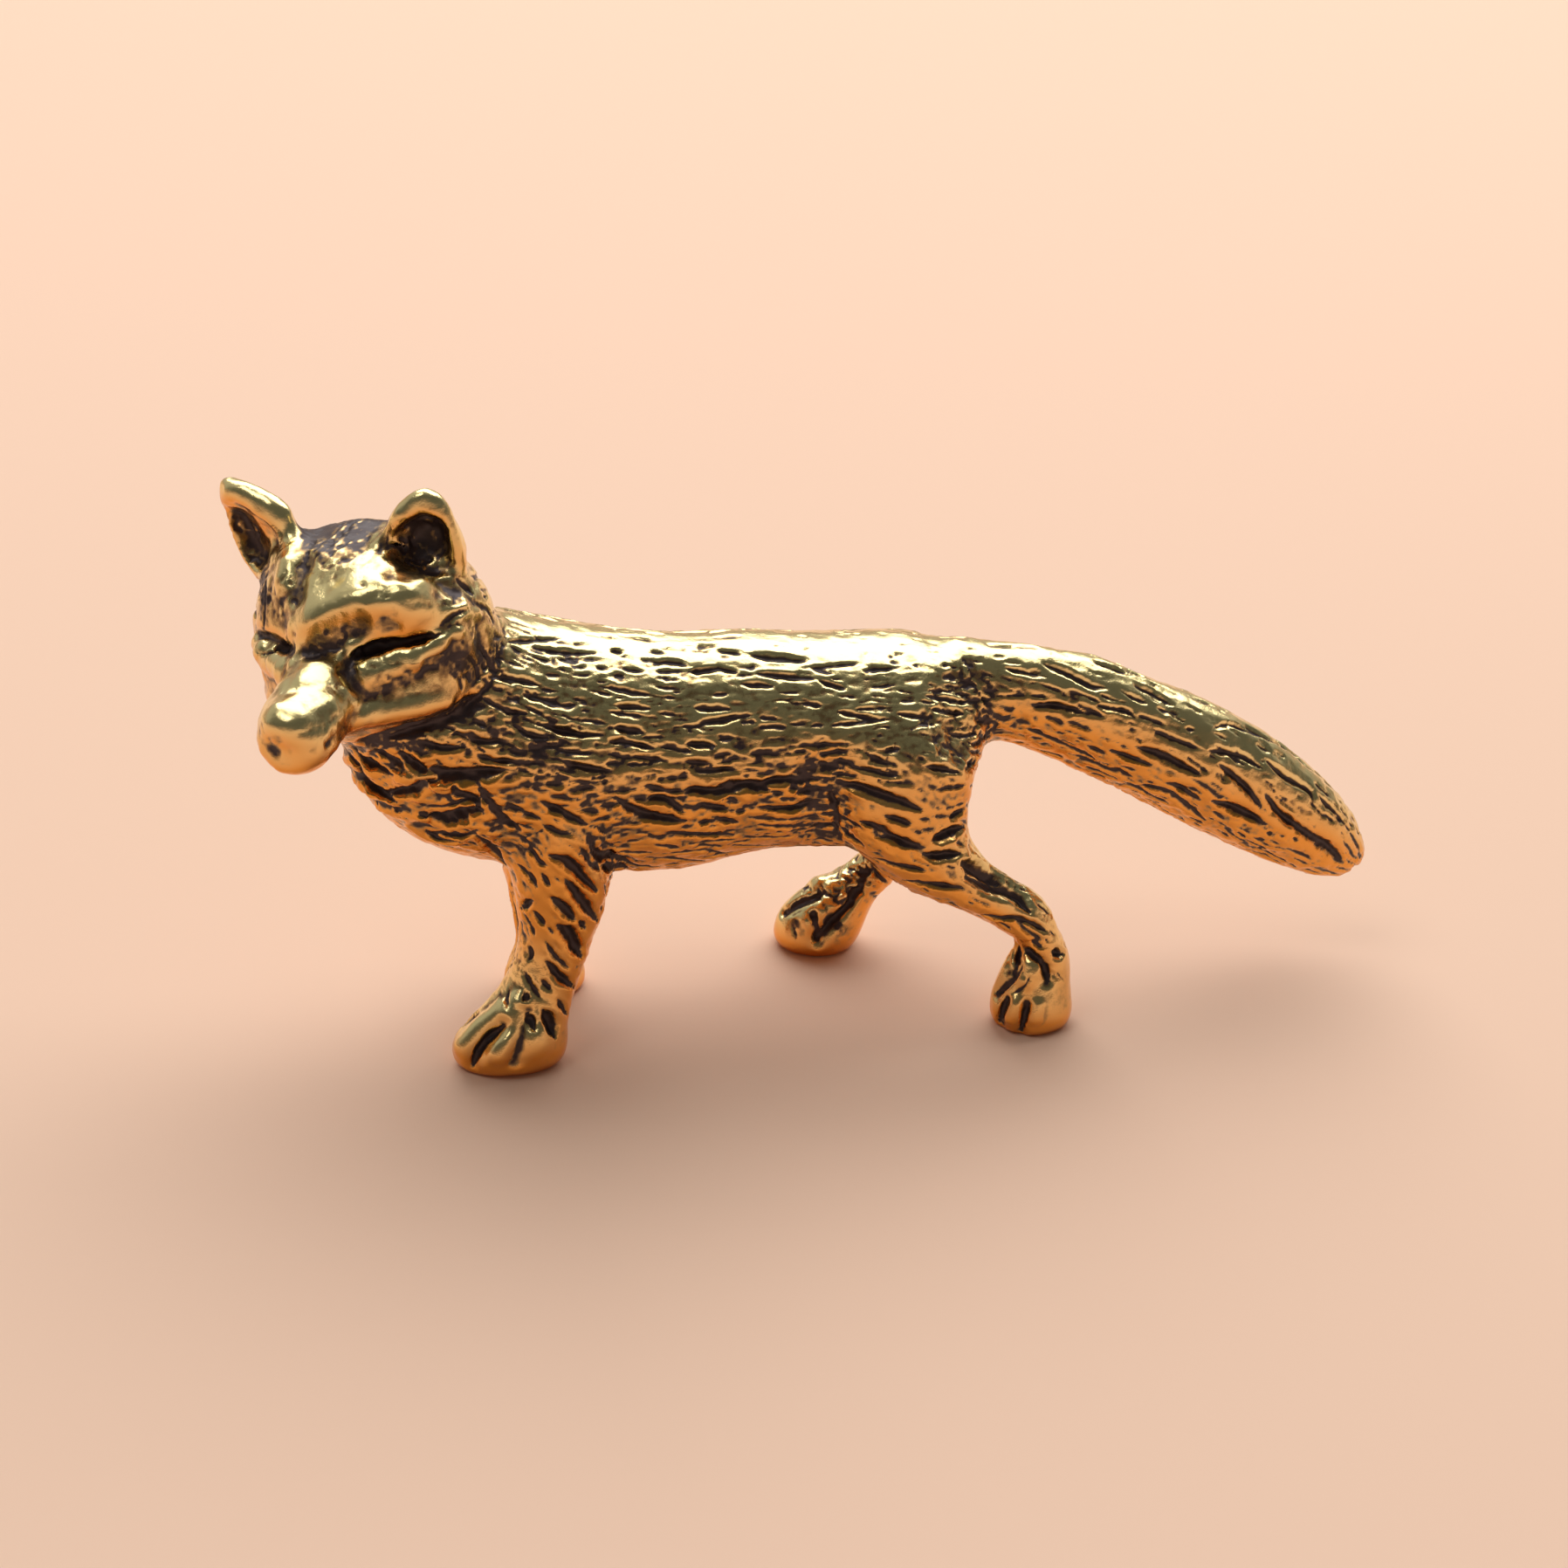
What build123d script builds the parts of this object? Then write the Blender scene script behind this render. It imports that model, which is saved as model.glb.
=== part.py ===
"""A small walking fox in solid brass, cast in nine sections that are brazed together.

Millimetres. The fox faces -X with its left flank towards -Y, and stands on its four soles at Z = 0.
The sections are the torso, the head, two ears, the tail and four legs. Each one that joins the torso or
the head is let into a pocket of its own shape, as deep as its root.
"""
import math
import os

from build123d import *

# Torso: from the rump to the end of the neck, which the head covers.
torso_rear_x = 9.3
torso_length = 29.0
torso_axis_height = 14.6
torso_height = 12.4
torso_width = 10.2
neck_start_share = 0.8

# Head: its centre lies midway between the cheeks, and it looks to the fox's left.
head_ahead_of_neck = 0.8
head_side_offset = 1.1
head_rise = 7.4
head_length = 14.3
head_width = 11.2
head_height = 10.7
head_turn = 57.0
head_tilt = 11.0
eye_height = 0.75
eye_depth = 0.4

# Ears: a cupped blade on each side of the crown. The right one was modelled taller and set wider.
left_ear_height = 3.7
left_ear_side_share = 0.255
left_ear_splay = 22.0
right_ear_height = 4.5
right_ear_side_share = 0.345
right_ear_splay = 30.0
ear_root_depth = 1.8
ear_width = 4.6
ear_thickness = 2.3
ear_wall = 0.55
ear_seat_depth = 1.95
ear_back_offset = 0.2
ear_facing = 24.0

# Tail: carried low behind the rump, thickest past its middle.
tail_seat_depth = 1.7
tail_rise = 2.4
tail_reach = 23.4
tail_drop = 11.7
tail_height = 6.1
tail_width = 5.1
furrow_width = 0.9
furrow_depth = 0.35

# Front legs: each one stands on a flat sole. The strides are measured ahead of the shoulder, and the side
# distances from the middle of the fox.
front_shoulder_share = 0.724
front_shoulder_rise = 0.8
front_shoulder_inset = 1.8
front_leg_depth = 5.4
front_leg_width = 3.8
front_left_stride = 2.5
front_left_sole_side = 4.2
front_left_paw_length = 5.6
front_right_stride = -0.3
front_right_sole_side = 1.8
front_right_paw_length = 4.9

# Hind legs: the left one pushes off behind the hip, and the right one has stepped forward.
hind_hip_share = 0.152
hind_hip_rise = 2.6
hind_hip_inset = 1.9
hind_leg_depth = 7.2
hind_leg_width = 4.2
hind_sole_side = 4.3

# Each ring of a section goes through this many points.
ring_points = 12


# Torso rings, from the rump to the neck. Columns: distance along the torso as a share of its length, rise
# above the axis as a share of its height, lean of the ring in degrees, and height and width as shares of the
# torso's own.
TORSO_RING_SHARES = [
    (0.000, 0.030, 0, 0.20, 0.24),
    (0.022, 0.025, 0, 0.48, 0.55),
    (0.080, 0.010, 0, 0.74, 0.81),
    (0.200, -0.012, 0, 0.87, 0.94),
    (0.335, 0.000, 0, 0.88, 0.91),
    (0.490, -0.020, 0, 0.95, 0.94),
    (0.655, 0.012, 0, 0.98, 1.00),
    (0.790, 0.072, 8, 0.99, 1.00),
    (0.890, 0.172, 21, 0.95, 0.93),
    (0.945, 0.285, 34, 0.82, 0.87),
    (1.000, 0.440, 46, 0.50, 0.62),
]

# Head rings, from the nape to the nose. Columns: distance ahead of the head's centre as a share of its
# length, rise as a share of its height, and width and height as shares of the head's own.
HEAD_RING_SHARES = [
    (-0.365, -0.08, 0.22, 0.24),
    (-0.325, -0.07, 0.58, 0.62),
    (-0.220, -0.05, 0.86, 0.88),
    (-0.080, -0.02, 1.00, 0.99),
    (0.060, 0.00, 0.94, 0.98),
    (0.180, -0.01, 0.78, 0.83),
    (0.255, -0.05, 0.56, 0.63),
    (0.320, -0.08, 0.38, 0.42),
    (0.420, -0.105, 0.335, 0.35),
    (0.530, -0.135, 0.335, 0.345),
    (0.600, -0.150, 0.265, 0.28),
    (0.630, -0.155, 0.12, 0.13),
]

# Places of the left eye, from its inner corner to the outer one. The right eye mirrors it. Columns: distance
# ahead of the head's centre as a share of its length, side distance as a share of its width, and rise as a
# share of its height.
EYE_PLACE_SHARES = [
    (0.315, 0.140, 0.070),
    (0.270, 0.220, 0.086),
    (0.215, 0.325, 0.085),
    (0.130, 0.428, 0.070),
]

# Ear rings, from the root to the tip. Columns: distance up the ear as a share of its height, and width and
# thickness as shares of the ear's own. The root goes down by the depth that is named for it.
EAR_RING_SHARES = [
    (0.00, 1.00, 0.95),
    (0.28, 0.98, 1.00),
    (0.55, 0.76, 0.84),
    (0.80, 0.46, 0.60),
    (0.94, 0.25, 0.38),
    (1.00, 0.10, 0.16),
]
EAR_CUP_SHARES = [
    (0.10, 0.92, 0.90),
    (0.30, 0.98, 1.00),
    (0.55, 0.74, 0.84),
    (0.78, 0.36, 0.56),
]

# Tail rings, from the root to the tip. Columns: reach, drop, height and width as shares of the tail's own.
TAIL_RING_SHARES = [
    (0.000, 0.000, 0.70, 0.70),
    (0.120, 0.030, 0.83, 0.80),
    (0.240, 0.098, 0.91, 0.88),
    (0.380, 0.219, 0.97, 0.95),
    (0.520, 0.370, 1.00, 1.00),
    (0.650, 0.520, 1.00, 1.00),
    (0.780, 0.690, 0.92, 0.92),
    (0.890, 0.845, 0.72, 0.74),
    (0.965, 0.955, 0.42, 0.44),
    (1.000, 1.000, 0.14, 0.15),
]

# Furrows in the fur of the tail's left side, which the right side mirrors. Columns: reach where a furrow
# starts and ends, as shares of the tail's own, and its turn around the tail there, in degrees from the top.
TAIL_FURROW_SHARES = [
    (0.13, 0.30, 28, 38),
    (0.14, 0.29, 78, 72),
    (0.13, 0.36, 112, 128),
    (0.33, 0.46, 22, 27),
    (0.38, 0.54, 62, 58),
    (0.37, 0.55, 90, 84),
    (0.44, 0.64, 136, 134),
    (0.52, 0.68, 46, 38),
    (0.56, 0.70, 66, 84),
    (0.59, 0.74, 106, 100),
    (0.66, 0.80, 36, 44),
    (0.68, 0.83, 68, 82),
    (0.73, 0.86, 142, 140),
    (0.78, 0.94, 92, 98),
]

# A groove goes through this many places and narrows towards both ends. One share for each place: its width
# and depth there.
GROOVE_SIZE_SHARES = [0.25, 1.0, 1.0, 0.25]

# Front leg rings, from the sole to the shoulder. Columns: height as a share of the leg's own, place between
# the paw and the shoulder, further shift forward as a share of the paw's length, and depth and width as
# shares of the leg's own.
FRONT_LEG_RING_SHARES = [
    (0.000, 0.00, 0.000, 0.86, 0.78),
    (0.040, 0.00, 0.000, 1.00, 0.98),
    (0.095, 0.04, -0.005, 0.97, 1.00),
    (0.155, 0.14, -0.030, 0.84, 0.90),
    (0.215, 0.34, -0.045, 0.72, 0.80),
    (0.290, 0.62, -0.015, 0.655, 0.76),
    (0.400, 0.90, 0.000, 0.67, 0.78),
    (0.520, 1.00, 0.000, 0.78, 0.86),
    (0.660, 1.00, 0.000, 0.93, 0.97),
    (0.800, 1.00, 0.000, 1.00, 1.00),
    (0.920, 1.00, 0.000, 0.80, 0.82),
    (1.000, 1.00, 0.000, 0.30, 0.34),
]

# Hind leg rings, from the sole to the hip. Columns: height as a share of the leg's own, place forward of the
# hip as a share of the leg's depth, place between the sole and the hip sideways, and depth and width as
# shares of the leg's own.
HIND_LEFT_RING_SHARES = [
    (0.000, -1.020, 0.00, 0.50, 0.72),
    (0.036, -1.015, 0.00, 0.585, 0.84),
    (0.085, -1.010, 0.02, 0.575, 0.82),
    (0.145, -1.015, 0.06, 0.52, 0.70),
    (0.205, -1.035, 0.12, 0.44, 0.60),
    (0.265, -1.030, 0.20, 0.35, 0.55),
    (0.320, -0.935, 0.28, 0.42, 0.58),
    (0.390, -0.760, 0.38, 0.60, 0.64),
    (0.465, -0.440, 0.50, 0.74, 0.72),
    (0.550, -0.190, 0.64, 0.78, 0.84),
    (0.650, -0.010, 0.82, 0.88, 0.96),
    (0.780, 0.030, 1.00, 1.00, 1.00),
    (0.910, 0.000, 1.00, 0.84, 0.84),
    (1.000, -0.020, 1.00, 0.34, 0.36),
]
HIND_RIGHT_RING_SHARES = [
    (0.000, 0.240, 0.00, 0.52, 0.74),
    (0.036, 0.240, 0.00, 0.63, 0.86),
    (0.085, 0.215, 0.02, 0.65, 0.84),
    (0.145, 0.150, 0.06, 0.62, 0.72),
    (0.205, 0.010, 0.12, 0.54, 0.60),
    (0.265, -0.160, 0.20, 0.44, 0.55),
    (0.330, -0.260, 0.28, 0.40, 0.55),
    (0.400, -0.270, 0.38, 0.44, 0.60),
    (0.475, -0.190, 0.50, 0.56, 0.70),
    (0.560, -0.090, 0.66, 0.70, 0.82),
    (0.660, -0.010, 0.84, 0.86, 0.96),
    (0.780, 0.020, 1.00, 1.00, 1.00),
    (0.910, 0.000, 1.00, 0.84, 0.84),
    (1.000, -0.020, 1.00, 0.34, 0.36),
]

FORWARD = Vector(-1, 0, 0)
LEFT = Vector(0, -1, 0)
UP = Vector(0, 0, 1)


def ring(centre, across, upward, width, height):
    """A closed oval face of the given width and height around centre."""
    turns = [2 * math.pi * i / ring_points for i in range(ring_points)]
    places = [(width / 2 * math.cos(turn), height / 2 * math.sin(turn)) for turn in turns]
    points = [centre + across * side + upward * rise for side, rise in places]
    return make_face(Spline(*points, periodic=True))


def groove(places, outwards, width, depth):
    """What a groove takes away along places on a surface. outwards are the surface's outward directions."""
    rings = []
    last = len(places) - 1
    for i, size in enumerate(GROOVE_SIZE_SHARES):
        along = (places[min(i + 1, last)] - places[max(i - 1, 0)]).normalized()
        across = outwards[i].cross(along)
        rings.append(ring(places[i], outwards[i], across, 2 * size * depth, size * width))
    return loft(rings)


def make_torso():
    """The barrel from the rump to the neck, with rings that lean forward along the neck."""
    rings = []
    for along, rise, lean, height, width in TORSO_RING_SHARES:
        x = torso_rear_x - along * torso_length
        y = -head_side_offset * max(0, along - neck_start_share) / (1 - neck_start_share)
        z = torso_axis_height + rise * torso_height
        upward = UP.rotate(Axis.Y, lean)
        rings.append(ring(Vector(x, y, z), LEFT, upward, width * torso_width, height * torso_height))
    return loft(rings)


def head_place():
    """The head's centre, and its forward, left and up directions, turned to the fox's left and tilted."""
    centre_x = torso_rear_x - torso_length - head_ahead_of_neck
    centre = Vector(centre_x, -head_side_offset, torso_axis_height + head_rise)
    forward = FORWARD.rotate(Axis.Z, head_turn)
    tilt_axis = Axis((0, 0, 0), forward)
    left = LEFT.rotate(Axis.Z, head_turn).rotate(tilt_axis, head_tilt)
    return centre, forward, left, UP.rotate(tilt_axis, head_tilt)


def make_head():
    """The skull, cheeks and muzzle, from the nape to the nose."""
    centre, forward, left, up = head_place()
    rings = []
    for ahead, rise, width, height in HEAD_RING_SHARES:
        middle = centre + forward * (ahead * head_length) + up * (rise * head_height)
        rings.append(ring(middle, left, up, width * head_width, height * head_height))
    return loft(rings) - [make_eye(1), make_eye(-1)]


def make_eye(side):
    """The slit of an eye. side is 1 for the left eye and -1 for the right one."""
    centre, forward, left, up = head_place()
    places = []
    outwards = []
    for ahead, beside, rise in EYE_PLACE_SHARES:
        level = forward * (ahead * head_length) + left * (side * beside * head_width)
        places.append(centre + level + up * (rise * head_height))
        outwards.append(level.normalized())
    return groove(places, outwards, eye_height, eye_depth)


def make_ear(side, height, side_share, splay):
    """A cupped ear. side is 1 for the left ear and -1 for the right one."""
    centre, forward, left, up = head_place()
    seat_rise = head_height / 2 - ear_seat_depth
    foot = centre + left * (side * side_share * head_width) + up * seat_rise - forward * ear_back_offset
    rise = up.rotate(Axis((0, 0, 0), forward), side * -splay)
    face = forward.rotate(Axis((0, 0, 0), rise), side * ear_facing)
    across = rise.cross(face)
    rings = [ring(foot - rise * ear_root_depth, across, face, ear_width, ear_thickness)]
    for along, width, thickness in EAR_RING_SHARES:
        middle = foot + rise * (along * height)
        rings.append(ring(middle, across, face, width * ear_width, thickness * ear_thickness))
    cup = []
    for along, width, thickness in EAR_CUP_SHARES:
        middle = foot + rise * (along * height) + face * (ear_thickness / 2)
        cup_width = width * (ear_width - 2 * ear_wall)
        cup.append(ring(middle, across, face, cup_width, thickness * 2 * (ear_thickness - 2 * ear_wall)))
    return loft(rings) - loft(cup)


def tail_middle(reach, drop):
    """A point on the tail's middle line."""
    x = torso_rear_x - tail_seat_depth + reach * tail_reach
    return Vector(x, 0, torso_axis_height + tail_rise - drop * tail_drop)


def tail_surface(reach, side, turn):
    """A point on one side of the tail at a turn from its top, and the outward direction there."""
    for before, after in zip(TAIL_RING_SHARES, TAIL_RING_SHARES[1:]):
        if reach <= after[0]:
            break
    part = (reach - before[0]) / (after[0] - before[0])
    _, drop, height, width = [low + part * (high - low) for low, high in zip(before, after)]
    along = (tail_middle(*after[:2]) - tail_middle(*before[:2])).normalized()
    sideways = LEFT * (side * math.sin(math.radians(turn)))
    upward = LEFT.cross(along) * math.cos(math.radians(turn))
    point = sideways * (width * tail_width / 2) + upward * (height * tail_height / 2)
    return tail_middle(reach, drop) + point, sideways + upward


def make_furrow(side, start, end, start_turn, end_turn):
    """A furrow on one side of the tail. side is 1 for the left side and -1 for the right one."""
    places = []
    outwards = []
    last = len(GROOVE_SIZE_SHARES) - 1
    for i in range(len(GROOVE_SIZE_SHARES)):
        reach = start + i / last * (end - start)
        turn = start_turn + i / last * (end_turn - start_turn)
        place, outward = tail_surface(reach, side, turn)
        places.append(place)
        outwards.append(outward)
    return groove(places, outwards, furrow_width, furrow_depth)


def make_tail():
    """The brush, with rings square to its curved middle line and furrows in its fur."""
    middles = [tail_middle(reach, drop) for reach, drop, height, width in TAIL_RING_SHARES]
    rings = []
    for i, (reach, drop, height, width) in enumerate(TAIL_RING_SHARES):
        before = middles[max(i - 1, 0)]
        after = middles[min(i + 1, len(middles) - 1)]
        along = (after - before).normalized()
        rings.append(ring(middles[i], LEFT, along.cross(LEFT), width * tail_width, height * tail_height))
    tail = loft(rings)
    for side in (1, -1):
        for shares in TAIL_FURROW_SHARES:
            tail -= make_furrow(side, *shares)
    return tail


def make_front_leg(side, stride, paw_length, sole_side):
    """A front leg from its sole to its shoulder. side is 1 for the left one and -1 for the right one."""
    shoulder_x = torso_rear_x - front_shoulder_share * torso_length
    shoulder_side = torso_width / 2 - front_shoulder_inset
    rings = []
    for rise, place, ahead, depth, width in FRONT_LEG_RING_SHARES:
        x = shoulder_x - (1 - place) * stride - ahead * paw_length
        y = sole_side + place * (shoulder_side - sole_side)
        z = rise * (torso_axis_height + front_shoulder_rise)
        full_depth = paw_length + place * (front_leg_depth - paw_length)
        middle = Vector(x, -side * y, z)
        rings.append(ring(middle, FORWARD, LEFT, depth * full_depth, width * front_leg_width))
    return loft(rings)


def make_hind_leg(side, ring_shares):
    """A hind leg from its sole over the hock and the knee to its hip."""
    hip_x = torso_rear_x - hind_hip_share * torso_length
    hip_side = torso_width / 2 - hind_hip_inset
    rings = []
    for rise, ahead, place, depth, width in ring_shares:
        x = hip_x - ahead * hind_leg_depth
        y = hind_sole_side + place * (hip_side - hind_sole_side)
        z = rise * (torso_axis_height + hind_hip_rise)
        middle = Vector(x, -side * y, z)
        rings.append(ring(middle, FORWARD, LEFT, depth * hind_leg_depth, width * hind_leg_width))
    return loft(rings)


def main():
    parts = {
        "torso": make_torso(),
        "head": make_head(),
        "left_ear": make_ear(1, left_ear_height, left_ear_side_share, left_ear_splay),
        "right_ear": make_ear(-1, right_ear_height, right_ear_side_share, right_ear_splay),
        "tail": make_tail(),
        "front_left_leg": make_front_leg(
            1, front_left_stride, front_left_paw_length, front_left_sole_side
        ),
        "front_right_leg": make_front_leg(
            -1, front_right_stride, front_right_paw_length, front_right_sole_side
        ),
        "hind_left_leg": make_hind_leg(1, HIND_LEFT_RING_SHARES),
        "hind_right_leg": make_hind_leg(-1, HIND_RIGHT_RING_SHARES),
    }
    for ear in ("left_ear", "right_ear"):
        parts["head"] -= parts[ear]
    for name in ("head", "tail", "front_left_leg", "front_right_leg", "hind_left_leg", "hind_right_leg"):
        parts["torso"] -= parts[name]
    boxes = [part.bounding_box() for part in parts.values()]
    low = [min(tuple(box.min)[i] for box in boxes) for i in range(3)]
    high = [max(tuple(box.max)[i] for box in boxes) for i in range(3)]
    to_frame = Location((-(low[0] + high[0]) / 2, -(low[1] + high[1]) / 2, 0))
    os.makedirs("parts", exist_ok=True)
    for name, part in parts.items():
        export_step(to_frame * part, f"parts/{name}.step")
    print("size", [round(high[i] - low[i], 3) for i in range(3)], "frame shift", to_frame.position)


main()
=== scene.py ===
"""The visible surface of a small cast brass fox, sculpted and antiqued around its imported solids.

Lengths in the tables are millimetres or pixels, as each one says. The Blender objects are in metres.
"""
import math
import random

import bmesh
import bpy
import numpy as np
from bpy.props import FloatProperty, FloatVectorProperty, IntProperty, PointerProperty
from mathutils import Matrix, Vector
from mathutils.bvhtree import BVHTree


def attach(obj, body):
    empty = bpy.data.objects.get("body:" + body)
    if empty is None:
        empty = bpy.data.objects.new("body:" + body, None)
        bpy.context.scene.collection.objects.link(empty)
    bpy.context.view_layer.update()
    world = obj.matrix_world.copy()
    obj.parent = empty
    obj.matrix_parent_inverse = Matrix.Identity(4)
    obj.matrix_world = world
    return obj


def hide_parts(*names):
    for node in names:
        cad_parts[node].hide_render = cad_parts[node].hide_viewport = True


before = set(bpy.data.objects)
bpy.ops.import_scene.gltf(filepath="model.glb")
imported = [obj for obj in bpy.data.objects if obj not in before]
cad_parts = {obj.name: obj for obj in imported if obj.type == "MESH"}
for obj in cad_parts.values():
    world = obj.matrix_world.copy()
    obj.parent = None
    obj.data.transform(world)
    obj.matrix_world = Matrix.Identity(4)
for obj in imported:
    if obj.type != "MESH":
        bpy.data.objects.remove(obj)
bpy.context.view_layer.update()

bl_info = {
    "name": "Cast brass fox",
    "version": (1, 0, 0),
    "blender": (4, 5, 0),
    "location": "3D View > Sidebar > Brass fox",
    "description": "Sculpts the fur, face and paws of a small brass fox and gives it an antiqued finish",
    "category": "Object",
}

MM = 0.001
SKIN_NAME = "fox_skin"
METAL_NAME = "antiqued_brass"
BODY_NAME = "root"
SECTIONS = (
    "torso", "head", "left_ear", "right_ear", "tail",
    "front_left_leg", "front_right_leg", "hind_left_leg", "hind_right_leg",
)

# The view: picture size, focal length and middle in pixels, angles in degrees, and the distance and the place
# that it looks at in millimetres. The camera's sensor is in millimetres as well.
PICTURE = 1796.0
VIEW_FOCAL = 3525.0
VIEW_CENTRE = (905.0, 885.0)
VIEW_TURN = -15.0
VIEW_LIFT = 29.0
VIEW_ROLL = 4.0
VIEW_DISTANCE = 150.0
VIEW_TARGET = (-2.2, 1.634, 12.7)
PIXELS_PER_MM = VIEW_FOCAL / VIEW_DISTANCE
SENSOR_WIDTH = 36.0

# The middle plane of the body, which left and right forms are mirrored in.
MIDDLE_Y = 1.634

# Soft forms. Columns: width in pixels, rise in millimetres (below 0 is a hollow), and the pixels that the form
# runs through. Those of the cheek are mirrored to the far cheek, and those of the body to its far side.
EAR_FORMS = [
    (30, -0.45, (490, 638), (491, 620), (493, 604)), (36, -0.36, (468, 640), (474, 622)),
    (26, -0.35, (278, 598), (292, 618), (302, 640)), (18, -0.45, (264, 590), (276, 612), (291, 640)),
    (14, 0.30, (316, 622), (314, 640)),
]
FACE_FORMS = [
    (
        18, 0.12, (420, 632), (436, 612), (454, 589), (470, 573), (486, 567), (502, 572), (513, 592), (522, 618),
        (528, 648),
    ),
    (24, 0.16, (266, 562), (284, 562), (304, 572), (324, 590), (340, 606)),
    (34, 0.30, (330, 630), (326, 660)), (22, -0.16, (348, 640), (344, 680), (346, 726)),
    (84, 0.34, (376, 700), (412, 690), (452, 682)), (60, -0.20, (372, 652), (410, 646)),
    (48, 0.50, (352, 718), (382, 702), (412, 690), (466, 686)), (54, 0.20, (424, 662), (440, 676)),
    (30, -0.34, (362, 742), (398, 721), (444, 714)), (38, 0.30, (436, 714), (476, 706), (518, 694)),
    (20, -0.20, (404, 752), (425, 743), (450, 737), (480, 733)), (15, 0.26, (446, 748), (476, 742), (508, 735)),
    (12, 0.20, (496, 728), (522, 724)), (24, -0.24, (402, 766), (410, 782), (420, 800)),
    (18, -0.12, (406, 818), (394, 834), (378, 852)), (24, -0.14, (350, 746), (364, 743), (388, 748)),
    (16, -0.16, (303, 748), (318, 744), (336, 741)), (18, 0.10, (304, 768), (318, 764), (332, 760)),
    (36, 0.16, (356, 772), (366, 766)), (36, -0.09, (322, 790), (342, 806), (366, 824)),
    (50, 0.42, (322, 822), (334, 826)), (16, -0.10, (313, 858), (316, 861)),
    (64, -0.40, (352, 606), (385, 608), (424, 610)), (18, -0.20, (448, 664), (480, 658), (510, 650)),
    (24, 0.16, (462, 676), (486, 672)), (18, -0.14, (504, 668), (522, 684)),
]
CHEEK_FORMS = [
    (30, 0.40, (420, 772), (440, 766), (466, 758)), (24, 0.24, (478, 752), (500, 744)),
    (36, 0.20, (528, 718), (534, 734)), (40, -0.07, (440, 784), (490, 776)),
    (60, 0.30, (430, 812), (470, 802), (515, 792)), (26, 0.26, (414, 822), (455, 812), (505, 802)),
    (22, -0.34, (424, 850), (462, 838), (505, 828), (540, 808)), (18, 0.14, (530, 690), (545, 704)),
    (20, -0.14, (548, 716), (552, 744)),
]
BODY_FORMS = [
    (16, 0.26, (390, 860), (402, 872), (424, 884)), (18, 0.30, (402, 886), (422, 904), (448, 916)),
    (18, 0.30, (438, 924), (464, 934), (490, 936)), (18, 0.30, (470, 944), (494, 958), (524, 962)),
    (16, 0.24, (462, 892), (488, 896), (512, 904)), (14, 0.20, (516, 950), (546, 948), (566, 956)),
    (130, 0.30, (1010, 880), (1000, 915)), (110, 0.25, (640, 900), (650, 930)), (60, -0.45, (945, 885), (945, 950)),
    (40, -0.20, (690, 985), (712, 992)), (80, -0.16, (745, 850), (760, 920)), (60, -0.30, (1090, 800), (1098, 850)),
    (52, 0.30, (1100, 752), (1112, 754)),
]
PAW_FORMS = [
    (20, -0.28, (576, 1176), (558, 1190), (547, 1206), (541, 1222)),
    (26, 0.26, (574, 1158), (548, 1176), (528, 1198)), (26, 0.26, (592, 1150), (584, 1180), (572, 1208)),
    (20, -0.20, (600, 1160), (596, 1190), (590, 1216)), (30, 0.16, (612, 1190), (618, 1200)),
    (12, -0.30, (514, 1190), (526, 1176), (543, 1163)), (16, -0.20, (1178, 1092), (1196, 1106), (1200, 1124)),
    (18, -0.24, (1164, 1096), (1154, 1116), (1141, 1138)), (24, 0.20, (1184, 1104), (1176, 1122)),
    (18, -0.22, (990, 1000), (984, 1018), (966, 1042), (946, 1064), (937, 1080)),
    (26, 0.22, (960, 1028), (940, 1044), (928, 1056)), (13, -0.26, (897, 1046), (915, 1034), (936, 1026)),
    (22, 0.22, (948, 1010), (922, 1010), (904, 1024)), (12, -0.26, (932, 1048), (934, 1076)),
    (14, -0.24, (1152, 1146), (1146, 1162), (1143, 1178)), (14, -0.22, (1176, 1152), (1172, 1168), (1169, 1182)),
    (18, 0.18, (1162, 1150), (1156, 1166)), (16, 0.16, (1188, 1152), (1186, 1168)),
]

# Places of the casting that are drawn over. Columns: the pixel, the width in pixels that follows it, and the
# pixels that it moves right and down.
PULLS = [
    (288, 568, 40, 0, -5), (326, 592, 42, 6, -9), (672, 1112, 72, -24, 0), (578, 1106, 60, 12, 0),
]

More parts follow.
